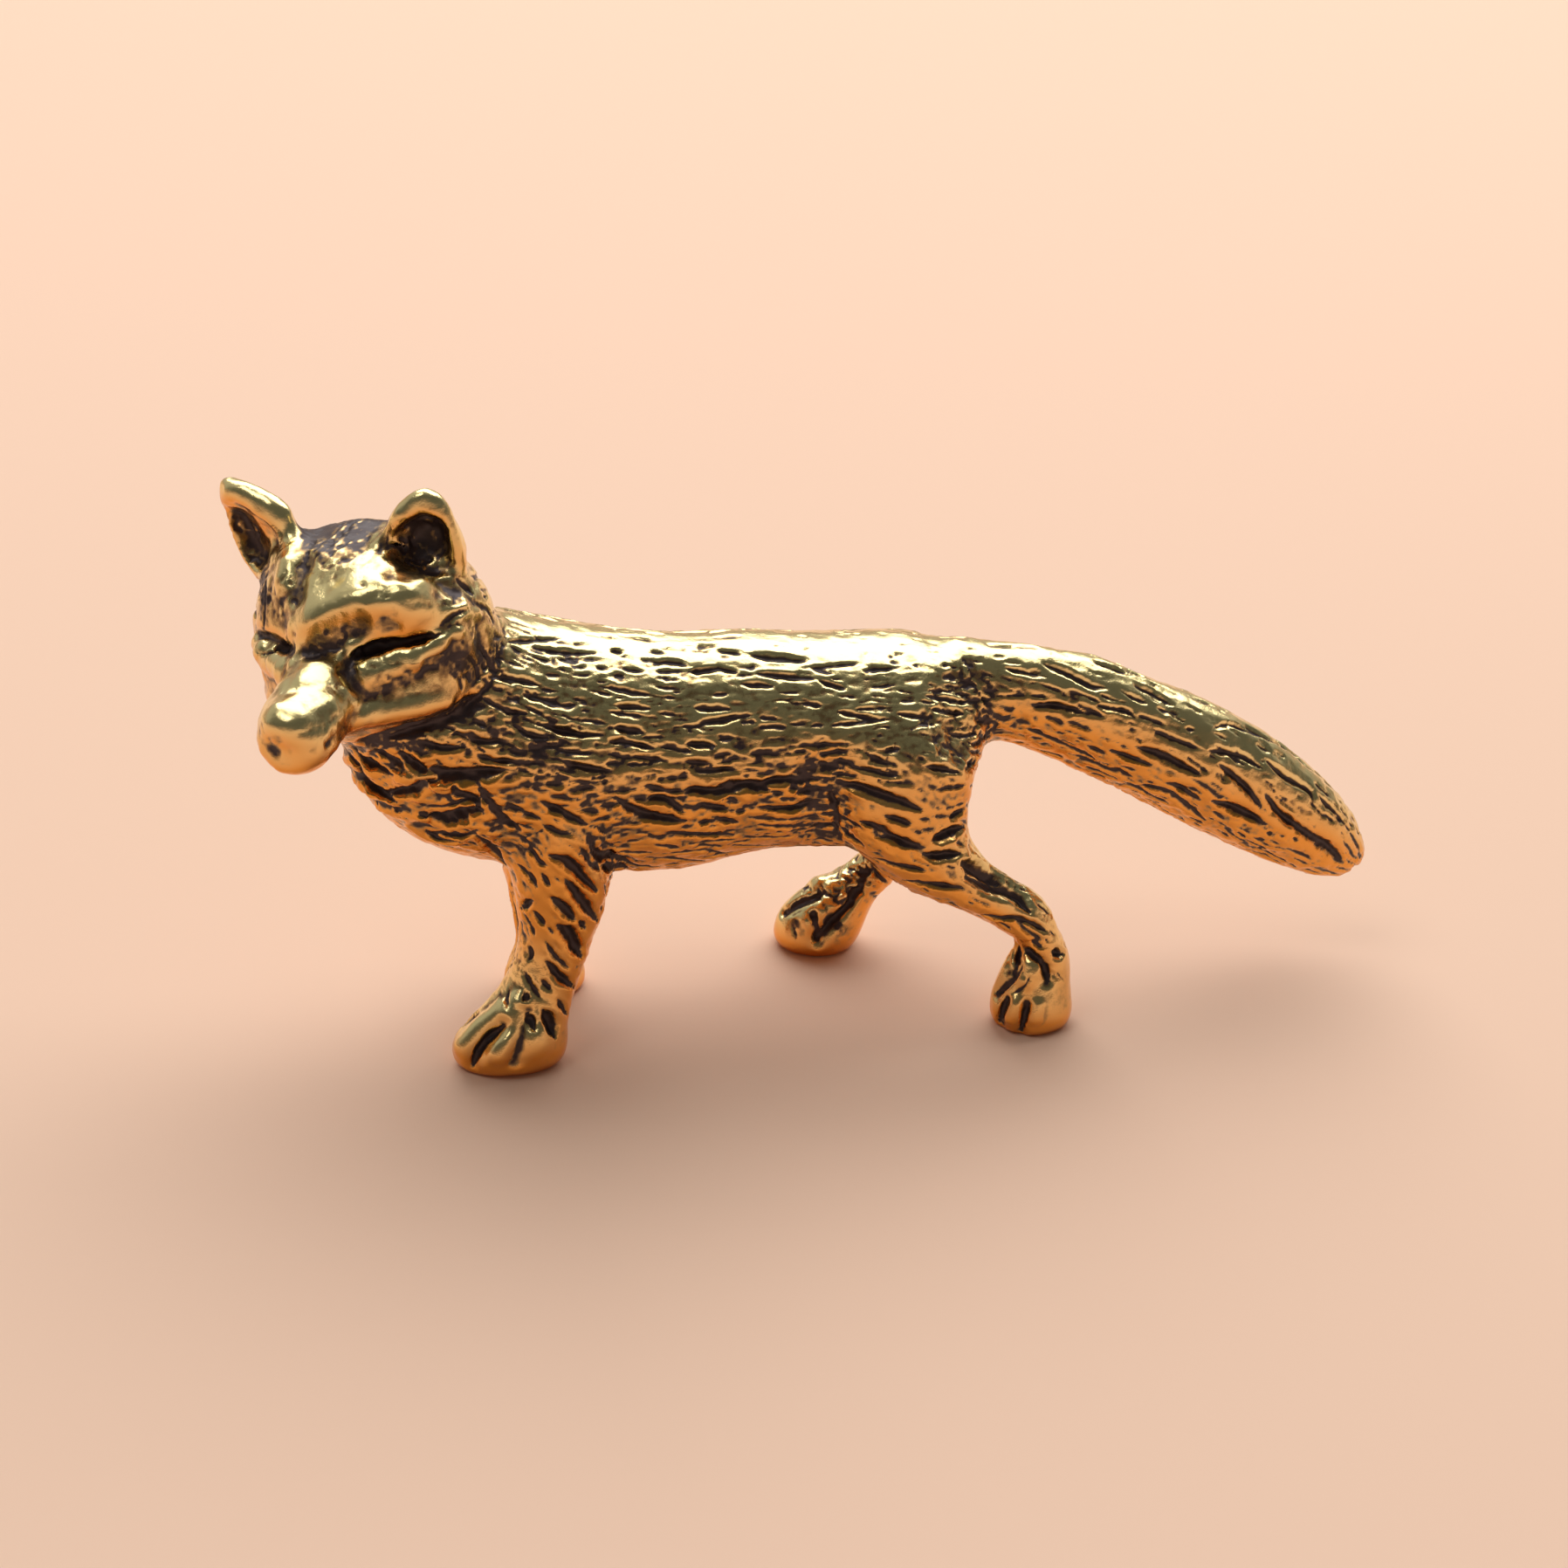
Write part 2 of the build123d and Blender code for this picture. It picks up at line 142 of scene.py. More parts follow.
# Places where the patina was left (above 0) or rubbed away (below 0), and a few where darkness is painted in as
# shade: under the brow, on the far hind paw in the body's shadow, and a thin film on the upper flank that also
# paints in its darker reflection. Columns: width in pixels, amount, and the pixels that it runs through.
STAINS_AND_SHADE = [
    (70, 0.75, (348, 602), (385, 602), (436, 604)), (30, 0.3, (352, 632), (400, 626)),
    (44, 0.9, (480, 632), (488, 604)), (34, 0.9, (278, 596), (300, 636)),
    (26, 0.55, (520, 668), (545, 690), (566, 720), (572, 765)), (44, 0.45, (530, 700), (540, 750)),
    (30, 0.2, (470, 700), (520, 690)), (24, 0.35, (412, 770), (430, 788)),
    # The last entry on this line darkens the hollow under the brow: painted shade for the dark room in front, which
    # it reflects.
    (46, 0.42, (432, 782), (484, 776), (530, 764), (556, 748)), (30, 0.55, (430, 716), (400, 728), (366, 744)),
    (24, 0.26, (300, 838), (318, 842), (330, 838)), (20, -0.6, (331, 863), (338, 858)),
    (18, 0.9, (300, 655), (302, 700), (302, 728)), (18, 0.5, (302, 750), (336, 741)),
    (13, 0.45, (313, 858), (315, 860)), (14, 0.15, (316, 838), (344, 836)), (40, 0.10, (340, 806), (372, 800)),
    (16, 0.3, (408, 816), (396, 832), (378, 852)), (30, 0.3, (520, 760), (550, 740)),
    (44, -0.3, (420, 818), (505, 798)), (30, 0.9, (430, 848), (500, 832), (540, 815)),
    (120, 0.5, (440, 880), (500, 900), (570, 885)), (60, 0.45, (560, 790), (600, 850)),
    (50, 0.4, (430, 860), (470, 850), (540, 830)), (60, 0.5, (560, 940), (600, 960)),
    (46, 0.9, (680, 980), (724, 992)), (70, 0.60, (625, 850), (660, 900), (700, 930)),
    (60, 1.0, (942, 880), (945, 950)), (70, 0.65, (800, 905), (870, 890), (930, 890)),
    (60, 0.5, (1080, 830), (1090, 860)), (50, 0.9, (1108, 780), (1125, 840)), (60, 0.4, (1140, 800), (1200, 830)),
    (60, 0.45, (740, 930), (800, 945), (860, 930)), (60, 0.3, (640, 830), (700, 860)),
    (36, 0.3, (760, 870), (830, 870)), (50, 0.35, (1000, 870), (1060, 890)), (44, 0.35, (1000, 960), (1080, 975)),
    (40, 0.5, (1110, 1000), (1165, 1020)), (26, 0.4, (980, 1010), (955, 1050)),
    (34, 0.45, (1160, 1108), (1150, 1125)), (30, 0.3, (905, 1045), (925, 1045)), (24, 0.35, (660, 975), (684, 988)),
    (60, 0.35, (1250, 880), (1330, 905)), (50, 0.3, (1380, 900), (1460, 960)), (40, 0.3, (660, 1040), (650, 1120)),
    (30, 0.35, (600, 1020), (600, 1100)), (50, 0.4, (600, 730), (640, 745)),
    (56, -0.4, (600, 718), (700, 724), (800, 728), (900, 724), (1000, 730), (1080, 740)),
    # A thin film over the upper flank, which also paints in the darker reflection there.
    (80, 0.10, (620, 800), (750, 806), (900, 806), (1060, 800)),
    (44, -0.6, (1130, 748), (1240, 764), (1340, 800), (1440, 850), (1500, 890)), (60, -0.5, (370, 675), (410, 690)),
    (30, -0.4, (322, 620), (324, 700)), (40, -0.5, (355, 765), (330, 810)),
    (14, -0.9, (414, 640), (450, 591), (484, 566), (511, 590), (525, 645)),
    (16, -0.9, (264, 562), (302, 572), (336, 604)), (16, -0.4, (402, 741), (470, 714), (540, 698)),
    (26, -0.5, (528, 1186), (562, 1164)), (22, -0.4, (590, 1160), (578, 1204)),
    # The last entry on this line and the second on the next: painted shadow on the far hind paw, which lies in the
    # body's shadow.
    (30, -0.4, (610, 1215), (560, 1228)), (70, 0.40, (985, 1004), (960, 1034), (924, 1044)),
    (22, 0.45, (990, 1000), (966, 1040), (938, 1076)), (34, 0.3, (915, 1026), (948, 1016)),
    (60, -0.25, (640, 1040), (630, 1140)),
]

# Engraved lines. Columns: width in pixels and the pixels that the line runs through. Those of the cheek are
# mirrored to the far cheek, and those of the throat, front leg, flank, haunch and tail to the body's far side.
EYE_LINES = [
    (8, (403, 754), (411, 748), (420, 742)), (11, (412, 748), (428, 742), (448, 737)),
    (8, (430, 742), (452, 737), (476, 733)), (6, (462, 735), (485, 730), (508, 726)),
    (8, (302, 749), (318, 744), (338, 741)),
]
CHEEK_LINES = [
    (7, (524, 664), (534, 672), (542, 682)), (7, (505, 716), (524, 703), (540, 697)),
    (6, (545, 690), (560, 700), (566, 715)), (6, (569, 738), (572, 765)), (6, (566, 778), (552, 795), (532, 812)),
    (5, (548, 742), (558, 752), (562, 768)), (5, (534, 750), (546, 764), (548, 782)),
    (5, (516, 770), (528, 780), (530, 794)),
]
HEAD_LINES = [
    (6, (440, 846), (470, 836), (500, 828)), (5, (305, 660), (303, 690), (302, 722)), (4, (412, 668), (418, 672)),
    (4, (440, 683), (446, 684)),
]
THROAT_LINES = [
    (6, (383, 860), (391, 874), (396, 879)), (10, (402, 855), (414, 867), (429, 877), (449, 888)),
    (14, (401, 864), (408, 879), (420, 894), (433, 908), (454, 920)),
    (14, (444, 908), (467, 908), (488, 899), (502, 895)),
    (18, (482, 933), (494, 938), (517, 938), (535, 932), (552, 929)),
    (6, (492, 924), (508, 924), (526, 921), (539, 918)), (18, (496, 882), (517, 890), (546, 890), (576, 883)),
    (10, (499, 954), (517, 957), (535, 957), (546, 952)), (8, (488, 951), (499, 961), (520, 967), (538, 968)),
    (10, (520, 899), (526, 911), (543, 917), (552, 932)), (10, (558, 923), (576, 938), (596, 952)),
    (9, (549, 905), (558, 917), (576, 932)), (10, (546, 958), (561, 970), (576, 985)),
    (12, (455, 860), (468, 872), (486, 884)), (9, (430, 858), (446, 868), (462, 880)),
    (8, (480, 850), (505, 858), (530, 858)), (8, (530, 840), (552, 850), (575, 850)),
    (8, (545, 865), (565, 872), (590, 872)),
]
FRONT_LEG_LINES = [
    (15, (630, 981), (650, 990), (668, 1006), (684, 1021)),
    (13, (647, 1009), (662, 1026), (674, 1042), (685, 1055)), (12, (632, 1029), (646, 1042), (659, 1055)),
    (8, (665, 1057), (671, 1063)), (17, (640, 1062), (654, 1074), (667, 1096)),
    (7, (625, 1079), (634, 1094), (651, 1109)), (12, (626, 1103), (640, 1118), (662, 1134)),
    (8, (611, 1045), (623, 1059)), (6, (601, 1047), (607, 1060), (612, 1071)),
    (6, (605, 1083), (608, 1093), (603, 1103)), (7, (620, 1123), (631, 1135)), (9, (601, 1138), (604, 1147)),
    (10, (604, 1162), (614, 1181)), (15, (623, 1159), (632, 1172), (636, 1187)), (8, (640, 1146), (650, 1162)),
    (6, (591, 989), (604, 1002), (615, 1017)), (6, (605, 999), (613, 1013)), (7, (621, 1003), (629, 1015)),
    (9, (597, 1041), (608, 1032)), (6, (615, 987), (627, 993)), (5, (587, 1010), (590, 1022)),
    (13, (680, 976), (702, 984), (724, 990)), (10, (690, 992), (720, 996)),
    (8, (577, 1175), (558, 1190), (547, 1205), (541, 1222)), (5, (514, 1190), (526, 1176), (543, 1163)),
]
FLANK_LINES = [
    (6, (580, 736), (612, 733), (645, 730)), (6, (640, 755), (665, 758)), (6, (700, 745), (715, 746)),
    (6, (745, 745), (765, 746)), (7, (748, 760), (768, 757), (790, 763)), (7, (820, 745), (850, 748)),
    (8, (860, 750), (892, 754), (925, 756)), (6, (820, 765), (845, 770)), (7, (850, 783), (885, 786)),
    (6, (930, 765), (955, 772)), (8, (560, 775), (590, 778), (620, 785)), (8, (600, 795), (640, 805)),
    (8, (705, 808), (745, 812)), (7, (700, 815), (742, 822)), (8, (705, 833), (740, 840)),
    (8, (700, 850), (725, 852), (750, 858)), (7, (785, 853), (822, 855)), (7, (725, 867), (765, 872)),
    (7, (790, 885), (840, 882)), (7, (800, 830), (840, 825)), (7, (740, 900), (760, 905)),
    (10, (745, 915), (765, 918), (782, 930)), (11, (705, 915), (730, 930), (755, 938), (785, 940)),
    (9, (760, 955), (790, 957), (840, 958)), (11, (785, 905), (822, 908), (858, 900)),
    (10, (830, 902), (900, 895), (945, 890)), (8, (800, 922), (835, 928)), (8, (815, 937), (845, 943)),
    (6, (750, 968), (780, 973)), (6, (797, 970), (828, 971)), (6, (840, 969), (880, 970)),
    (6, (805, 975), (850, 981), (905, 970)), (5, (740, 982), (785, 986), (830, 988)),
    (9, (620, 918), (645, 932), (672, 945)), (8, (950, 905), (957, 930), (956, 958)),
    (8, (870, 925), (900, 928), (930, 920)), (7, (870, 945), (905, 948), (930, 944)),
    (8, (620, 830), (655, 840), (690, 842)), (8, (640, 870), (670, 880), (700, 884)),
    (7, (585, 830), (610, 842), (635, 848)), (7, (560, 805), (585, 815), (605, 818)),
]
HAUNCH_LINES = [
    (12, (960, 895), (990, 905), (1020, 915), (1055, 928)), (12, (985, 942), (1005, 950), (1030, 965), (1060, 972)),
    (10, (965, 952), (975, 960), (988, 970)), (8, (1001, 984), (1028, 992), (1061, 998)),
    (8, (1034, 1009), (1064, 1014), (1102, 1018)), (14, (1070, 963), (1090, 955), (1105, 947)),
    (12, (1060, 980), (1075, 982), (1100, 978)), (10, (1090, 938), (1105, 928)), (7, (1080, 903), (1105, 900)),
    (7, (1060, 878), (1100, 885)), (12, (1108, 880), (1120, 872)), (22, (1104, 990), (1128, 1000), (1154, 1012)),
    (20, (1108, 1006), (1140, 1014), (1166, 1024), (1181, 1044)), (9, (1156, 1050), (1180, 1058), (1202, 1068)),
    (8, (1182, 1078), (1194, 1086)), (11, (1206, 1091), (1218, 1093)),
    (7, (1124, 1048), (1150, 1053), (1165, 1051)), (7, (960, 815), (1010, 825)), (7, (1060, 797), (1100, 803)),
    (7, (940, 780), (970, 790)), (7, (920, 805), (940, 808)), (7, (990, 862), (1015, 875)),
    (7, (940, 865), (975, 860)), (7, (1000, 885), (1030, 890)), (8, (1015, 935), (1045, 945)),
    (11, (1160, 1074), (1166, 1090), (1163, 1102)), (9, (1170, 1106), (1158, 1124), (1141, 1139)),
    (8, (1178, 1091), (1194, 1104), (1201, 1124)), (6, (1153, 1144), (1147, 1160), (1143, 1176)),
    (6, (1178, 1150), (1173, 1166), (1170, 1180)), (5, (1180, 1118), (1174, 1130), (1160, 1138)),
]
HIND_PAW_LINES = [
    (8, (993, 990), (986, 1014), (972, 1036), (955, 1052), (941, 1068), (936, 1081)), (5, (904, 1018), (926, 1016)),
    (6, (896, 1047), (914, 1034), (934, 1027), (956, 1020)), (5, (931, 1046), (936, 1062)),
    (5, (902, 1050), (918, 1042)), (6, (966, 1004), (976, 1012)), (5, (948, 1030), (966, 1022)),
    (5, (908, 1060), (912, 1076)),
]
TAIL_LINES = [
    (8, (1250, 757), (1275, 765), (1297, 772)), (7, (1150, 765), (1175, 770), (1200, 775)),
    (9, (1195, 760), (1225, 772), (1250, 785), (1268, 788)), (9, (1300, 785), (1320, 793), (1345, 808)),
    (5, (1220, 790), (1245, 798), (1260, 805)), (9, (1180, 808), (1215, 810), (1250, 820)),
    (7, (1260, 810), (1290, 815), (1300, 822)), (5, (1315, 832), (1340, 845), (1380, 860)),
    (5, (1340, 818), (1360, 828)), (7, (1390, 835), (1410, 830), (1450, 845)),
    (7, (1450, 845), (1475, 858), (1495, 875)), (10, (1300, 855), (1330, 865), (1360, 880), (1375, 888)),
    (9, (1385, 860), (1420, 865), (1445, 880)), (10, (1395, 875), (1415, 890), (1430, 905), (1445, 925)),
    (10, (1450, 870), (1475, 890), (1500, 905), (1505, 918)),
    (10, (1300, 900), (1330, 905), (1355, 920), (1380, 940)), (11, (1390, 918), (1420, 930), (1450, 945)),
    (10, (1450, 910), (1470, 935), (1500, 955)), (7, (1510, 910), (1530, 930), (1545, 950)),
    (12, (1480, 945), (1520, 970), (1540, 990)), (6, (1420, 970), (1445, 980), (1470, 990)),
    (5, (1375, 957), (1400, 968)), (5, (1340, 940), (1365, 950)),
    (5, (1170, 832), (1200, 845), (1235, 862), (1262, 875)), (5, (1250, 885), (1265, 890)),
]

# Toes that the camera doesn't see. Columns: half width in millimetres, and the places of the line in millimetres.
HIDDEN_TOES = [
    (0.17, (-14.9, 2.60, 2.6), (-15.8, 2.60, 1.6), (-16.0, 2.60, 0.6)),
    (0.17, (-15.0, 3.45, 2.6), (-15.9, 3.45, 1.6), (-16.1, 3.45, 0.6)),
    (0.17, (-14.9, 4.30, 2.6), (-15.8, 4.30, 1.6), (-16.0, 4.30, 0.6)),
    (0.14, (-14.2, 5.20, 2.2), (-14.9, 5.10, 1.4), (-15.3, 5.00, 0.6)),
    (0.16, (-18.2, -1.45, 2.6), (-18.8, -1.50, 1.6), (-19.0, -1.60, 0.6)),
    (0.16, (-0.2, 6.85, 2.6), (-1.0, 6.80, 1.6), (-1.2, 6.75, 0.6)),
    (0.14, (0.7, 7.30, 2.2), (-0.1, 7.30, 1.4), (-0.5, 7.20, 0.6)),
    (0.16, (8.6, -1.55, 2.6), (8.1, -1.60, 1.6), (8.0, -1.65, 0.6)),
]


def settings():
    """The fox's sizes, colours and lamps."""
    return bpy.context.scene.brass_fox


# ------------------------------------------------------------------ the camera's pixels


def view_axes():
    """The camera's right, up and back directions."""
    turn = math.radians(VIEW_TURN)
    lift = math.radians(VIEW_LIFT)
    roll = math.radians(VIEW_ROLL)
    back = Vector((math.sin(turn) * math.cos(lift), -math.cos(turn) * math.cos(lift), math.sin(lift)))
    level = Vector((0, 0, 1)).cross(back).normalized()
    upright = back.cross(level)
    right = level * math.cos(roll) + upright * math.sin(roll)
    return right, upright * math.cos(roll) - level * math.sin(roll), back


def view_place():
    """The camera's place in millimetres."""
    return Vector(VIEW_TARGET) + view_axes()[2] * VIEW_DISTANCE


def view_ray(x, y):
    """The direction from the camera through a pixel."""
    right, up, back = view_axes()
    side = (x - VIEW_CENTRE[0]) / VIEW_FOCAL
    rise = (VIEW_CENTRE[1] - y) / VIEW_FOCAL
    return (right * side + up * rise - back).normalized()


# The whole numbers that the noise is mixed with.
NOISE_STEPS = (73856093, 19349663, 83492791)
NOISE_FACTORS = (1274126177, 668265263)
NOISE_MASK = 0xFFFFFFFF
NOISE_LEVELS = 65536


def grain(points, size, seed):
    """Smooth noise from -1 to 1 at each point, with lumps of about the given size."""
    place = points / size
    cell = np.floor(place).astype(np.int64)
    part = place - cell
    part = part * part * (3 - 2 * part)
    total = np.zeros(len(points))
    for corner in range(8):
        step = np.array([corner & 1, corner >> 1 & 1, corner >> 2 & 1])
        key = (cell + step + seed) @ np.array(NOISE_STEPS)
        key = (key ^ (key >> 13)) * NOISE_FACTORS[0] & NOISE_MASK
        key = (key ^ (key >> 16)) * NOISE_FACTORS[1] & NOISE_MASK
        weight = np.prod(np.where(step, part, 1 - part), axis=1)
        level = (key ^ (key >> 15) & (NOISE_LEVELS - 1)) % NOISE_LEVELS
        total += weight * (level / ((NOISE_LEVELS - 1) / 2) - 1)
    return total


def curved(points, step):
    """Points about one step apart on a smooth line through the given ones (a Catmull-Rom curve)."""
    points = [np.array(p, float) for p in points]
    ends = [2 * points[0] - points[1]] + points + [2 * points[-1] - points[-2]]
    line = []
    for before, start, end, after in zip(ends, ends[1:], ends[2:], ends[3:]):
        count = max(2, int(np.linalg.norm(end - start) / step))
        for t in np.arange(count) / count:
            bend = 2 * before - 5 * start + 4 * end - after
            twist = 3 * start - before - 3 * end + after
            line.append(start + 0.5 * ((end - before) * t + bend * t * t + twist * t ** 3))
    return line + [points[-1]]


# ------------------------------------------------------------------ the cast surface

# The least length that a normal is divided by.
TINY = 1e-12


class Surface:
    """A closed skin of quads, in millimetres, that tools are pressed into."""

    def __init__(self, points, faces):
        self.points = points
        self.faces = faces
        edges = np.concatenate([faces[:, [k, (k + 1) % 4]] for k in range(4)])
        self.edges = np.unique(np.sort(edges, 1), axis=0)
        self.degree = np.bincount(self.edges.ravel(), minlength=len(points)).astype(float)

    def mean(self, values):
        """The mean of each point's neighbours."""
        a, b = self.edges.T
        total = np.empty_like(values)
        flat = values.reshape(len(values), -1)
        out = total.reshape(len(values), -1)
        for k in range(flat.shape[1]):
            out[:, k] = np.bincount(a, flat[b, k], len(values)) + np.bincount(b, flat[a, k], len(values))
            out[:, k] /= self.degree
        return total

    def softened(self, values, times, weight=1.0):
        """The values, each drawn towards the mean of its neighbours some times over."""
        for _ in range(times):
            values = values + (self.mean(values) - values) * weight
        return values

    def normals(self):
        """The way that the surface faces at each point."""
        corner = self.points[self.faces]
        lean = np.cross(corner[:, 2] - corner[:, 0], corner[:, 3] - corner[:, 1])
        total = np.zeros_like(self.points)
        for k in range(4):
            for axis in range(3):
                total[:, axis] += np.bincount(self.faces[:, k], lean[:, axis], len(self.points))
        return total / np.maximum(np.linalg.norm(total, axis=1), TINY)[:, None]

    def tree(self):
        """A tree that finds places on the skin."""
        return search_tree(self.points, self.faces)


def new_mesh(name, points, faces, caps=None):
    """A mesh of like faces, and of a few triangles more."""
    mesh = bpy.data.meshes.new(name)
    groups = [faces] if caps is None or not len(caps) else [faces, caps]
    corners = np.concatenate([group.ravel() for group in groups]).astype(np.int32)
    sizes = np.concatenate([np.full(len(group), group.shape[1]) for group in groups])
    mesh.vertices.add(len(points))
    mesh.vertices.foreach_set("co", np.asarray(points, np.float32).ravel())
    mesh.loops.add(len(corners))
    mesh.loops.foreach_set("vertex_index", corners)
    mesh.polygons.add(len(sizes))
    mesh.polygons.foreach_set("loop_start", (np.cumsum(sizes) - sizes).astype(np.int32))
    mesh.update(calc_edges=True)
    return mesh


def search_tree(points, faces):
    """A tree that finds places on the given faces."""
    mesh = new_mesh("search", points, faces)
    shape = bmesh.new()
    shape.from_mesh(mesh)
    tree = BVHTree.FromBMesh(shape)
    shape.free()
    bpy.data.meshes.remove(mesh)
    return tree


def remeshed(points, faces, voxel):
    """One closed skin of quads around the given shells, without the hollows inside it."""
    mesh = new_mesh("casting", points, faces)
    body = bpy.data.objects.new("casting", mesh)
    bpy.context.scene.collection.objects.link(body)
    remesh = body.modifiers.new("remesh", "REMESH")
    remesh.mode = "VOXEL"
    remesh.voxel_size = voxel
    shown = body.evaluated_get(bpy.context.evaluated_depsgraph_get())
    result = bpy.data.meshes.new_from_object(shown)
    places = np.empty(len(result.vertices) * 3)
    result.vertices.foreach_get("co", places)
    places = places.reshape(-1, 3)
    corners = np.empty(len(result.loops), int)
    result.loops.foreach_get("vertex_index", corners)
    if len(corners) != 4 * len(result.polygons):
        raise RuntimeError("the skin isn't all quads")
    corners = corners.reshape(-1, 4)
    bpy.data.objects.remove(body)
    bpy.data.meshes.remove(mesh)
    bpy.data.meshes.remove(result)
    return largest_shell(places, corners)


def largest_shell(points, faces):
    """The shell with the most points, and its faces."""
    near = np.concatenate([faces[:, [k, j]] for k in range(4) for j in ((k + 1) % 4, k - 1)])
    near = near[np.argsort(near[:, 0], kind="stable")]
    starts = np.searchsorted(near[:, 0], np.arange(len(points)))
    mark = np.arange(len(points))
    while True:
        spread = np.minimum(mark, np.minimum.reduceat(mark[near[:, 1]], starts))
        spread = spread[spread]
        if (spread == mark).all():
            break
        mark = spread
    keep = mark == np.bincount(mark).argmax()
    place = np.cumsum(keep) - 1
    return points[keep], place[faces[keep[faces[:, 0]]]]


def node_shell(name):
    """A node's points in millimetres and its triangles."""
    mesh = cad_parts[name].data
    mesh.calc_loop_triangles()
    points = np.empty(len(mesh.vertices) * 3)
    mesh.vertices.foreach_get("co", points)
    faces = np.empty(len(mesh.loop_triangles) * 3, int)
    mesh.loop_triangles.foreach_get("vertices", faces)
    return points.reshape(-1, 3) / MM, faces.reshape(-1, 3)


def node_distances(surface, reach):
    """Each point's distance to each node, up to the given reach."""
    far = np.full((len(surface.points), len(SECTIONS)), reach)
    for column, name in enumerate(SECTIONS):
        points, faces = node_shell(name)
        tree = search_tree(points, faces)
        near = (surface.points > points.min(0) - reach).all(1) & (surface.points < points.max(0) + reach).all(1)
        for i in np.flatnonzero(near):
            found = tree.find_nearest(Vector(surface.points[i]), reach)
            if found[0] is not None:
                far[i, column] = found[3]
    return far


# The step along a traced line, and the longest jump that still follows it, in millimetres.
TRACED_STEP = 0.1
LONGEST_JUMP = 1.0


def traced(tree, pixels):
    """The places and normals on the surface under a line of pixels."""
    eye = view_place()
    places = []
    for x, y in curved(pixels, TRACED_STEP * PIXELS_PER_MM):
        hit = tree.ray_cast(eye, view_ray(x, y))
        if hit[0] is None:
            continue
        if places and (hit[0] - places[-1][0]).length > LONGEST_JUMP:
            continue
        places.append((hit[0], hit[1]))
    return places


def across_body(place):
    """The same place on the other side of the body."""
    return Vector((place.x, 2 * MIDDLE_Y - place.y, place.z))


def across_head(place):
    """The same place on the other side of the head."""
    return place - 2 * HEAD_SIDE * (place - HEAD_CENTRE).dot(HEAD_SIDE)


def mirrored(tree, places, across):
    """The same line on the other side of the body or head."""
    other = []
    for place, _ in places:
        found = tree.find_nearest(across(place))
        other.append((found[0], found[1]))
    return other


# The size of the cells that points are looked up in, in millimetres.
CELL = 0.5

# How a cut line runs out: the share of it at each end that narrows, and how wide its ends stay.
NARROWING = 0.36
POINTED = 0.3

# The least agreement between a point's normal and the line's, which keeps a tool to its side of a thin form.
SAME_SIDE = 0.1

# How a line's edge strays. Columns: share, size of the waves in millimetres, and the noise's seed.
STRAY_LONG = (0.22, 0.45, 11)
STRAY_SHORT = (0.20, 0.2, 12)


class Presser:
    """Finds the points near a line quickly, and works out how a tool that follows it presses them."""

    def __init__(self, surface):
        self.points = surface.points
        self.normals = surface.normals()
        self.ragged = sum(share * grain(self.points, *noise) for share, *noise in (STRAY_LONG, STRAY_SHORT))
        key = np.floor(self.points / CELL).astype(int)
        order = np.lexsort(key.T[::-1])
        key = key[order]
        new = np.flatnonzero(np.any(np.diff(key, axis=0), axis=1)) + 1
        starts = np.concatenate([[0], new])
        ends = np.concatenate([new, [len(key)]])
        self.cells = {tuple(key[a]): order[a:b] for a, b in zip(starts, ends)}

    def near(self, places, reach):
        """The indices of the points within reach of a line's box."""
        low = np.floor((places.min(0) - reach) / CELL).astype(int)
        high = np.floor((places.max(0) + reach) / CELL).astype(int)
        found = []
        for x in range(low[0], high[0] + 1):
            for y in range(low[1], high[1] + 1):
                for z in range(low[2], high[2] + 1):
                    cell = self.cells.get((x, y, z))
                    if cell is not None:
                        found.append(cell)
        return np.concatenate(found) if found else np.empty(0, int)

    def along(self, line, half_width, reach, taper=NARROWING):
        """For the points near a line: their indices, distance as a share of the half width, and its ends' share."""
        places = np.array([place for place, _ in line])
        facing = np.array([normal for _, normal in line])
        index = self.near(places, half_width * reach)
        if not len(index):
            return index, None, None
        gap = np.linalg.norm(self.points[index][:, None] - places[None], axis=2)
        nearest = gap.argmin(1)
        share = (np.arange(len(places)) + 0.5) / len(places)
        ends = np.minimum(1, np.minimum(share, 1 - share) / taper) if taper else np.ones(len(places))
        ends = POINTED + (1 - POINTED) * np.sin(ends * math.pi / 2)
        part = gap[np.arange(len(index)), nearest] / (half_width * ends[nearest])
        keep = (part < reach) & ((self.normals[index] * facing[nearest]).sum(1) > SAME_SIDE)
        return index[keep], part[keep], ends[nearest][keep]


# Half the width of a form, as a share of the width that its table gives.
FORM_HALF_WIDTH = 0.75

# Firm forms have steep sides, which are eased some times over, and in full from this rise in millimetres.
EASING_TIMES = 8
EASED_RISE = 0.1


def form_field(surface, forms, across=None, firm=False):
    """The summed height of soft swellings and hollows under lines of pixels. Firm ones have a flat top."""
    tree = surface.tree()
    presser = Presser(surface)
    rise = np.zeros(len(surface.points))
    for width, height, *pixels in forms:
        line = traced(tree, pixels)
        if len(line) < 2:
            continue
        for one in [line, mirrored(tree, line, across)] if across else [line]:
            index, part, ends = presser.along(one, width / PIXELS_PER_MM * FORM_HALF_WIDTH, 1.0, 0)
            if len(index):
                bell = (1 - part ** 4) ** 2 if firm else (1 - part ** 2) ** 2
                rise[index] += height * bell * ends
    return rise


def pull(surface, pulls):
    """Draws parts of the surface over, as the camera sees it."""
    tree = surface.tree()
    right, up, _ = view_axes()
    points = surface.points.copy()
    for x, y, width, move_right, move_down in pulls:
        hit = tree.ray_cast(view_place(), view_ray(x, y))
        if hit[0] is None:
            continue
        part = np.linalg.norm(points - np.array(hit[0]), axis=1) * PIXELS_PER_MM / width
        bell = np.clip(1 - part ** 2, 0, 1) ** 2
        move = (right * move_right - up * move_down) / PIXELS_PER_MM
        surface.points = surface.points + bell[:, None] * np.array(move)


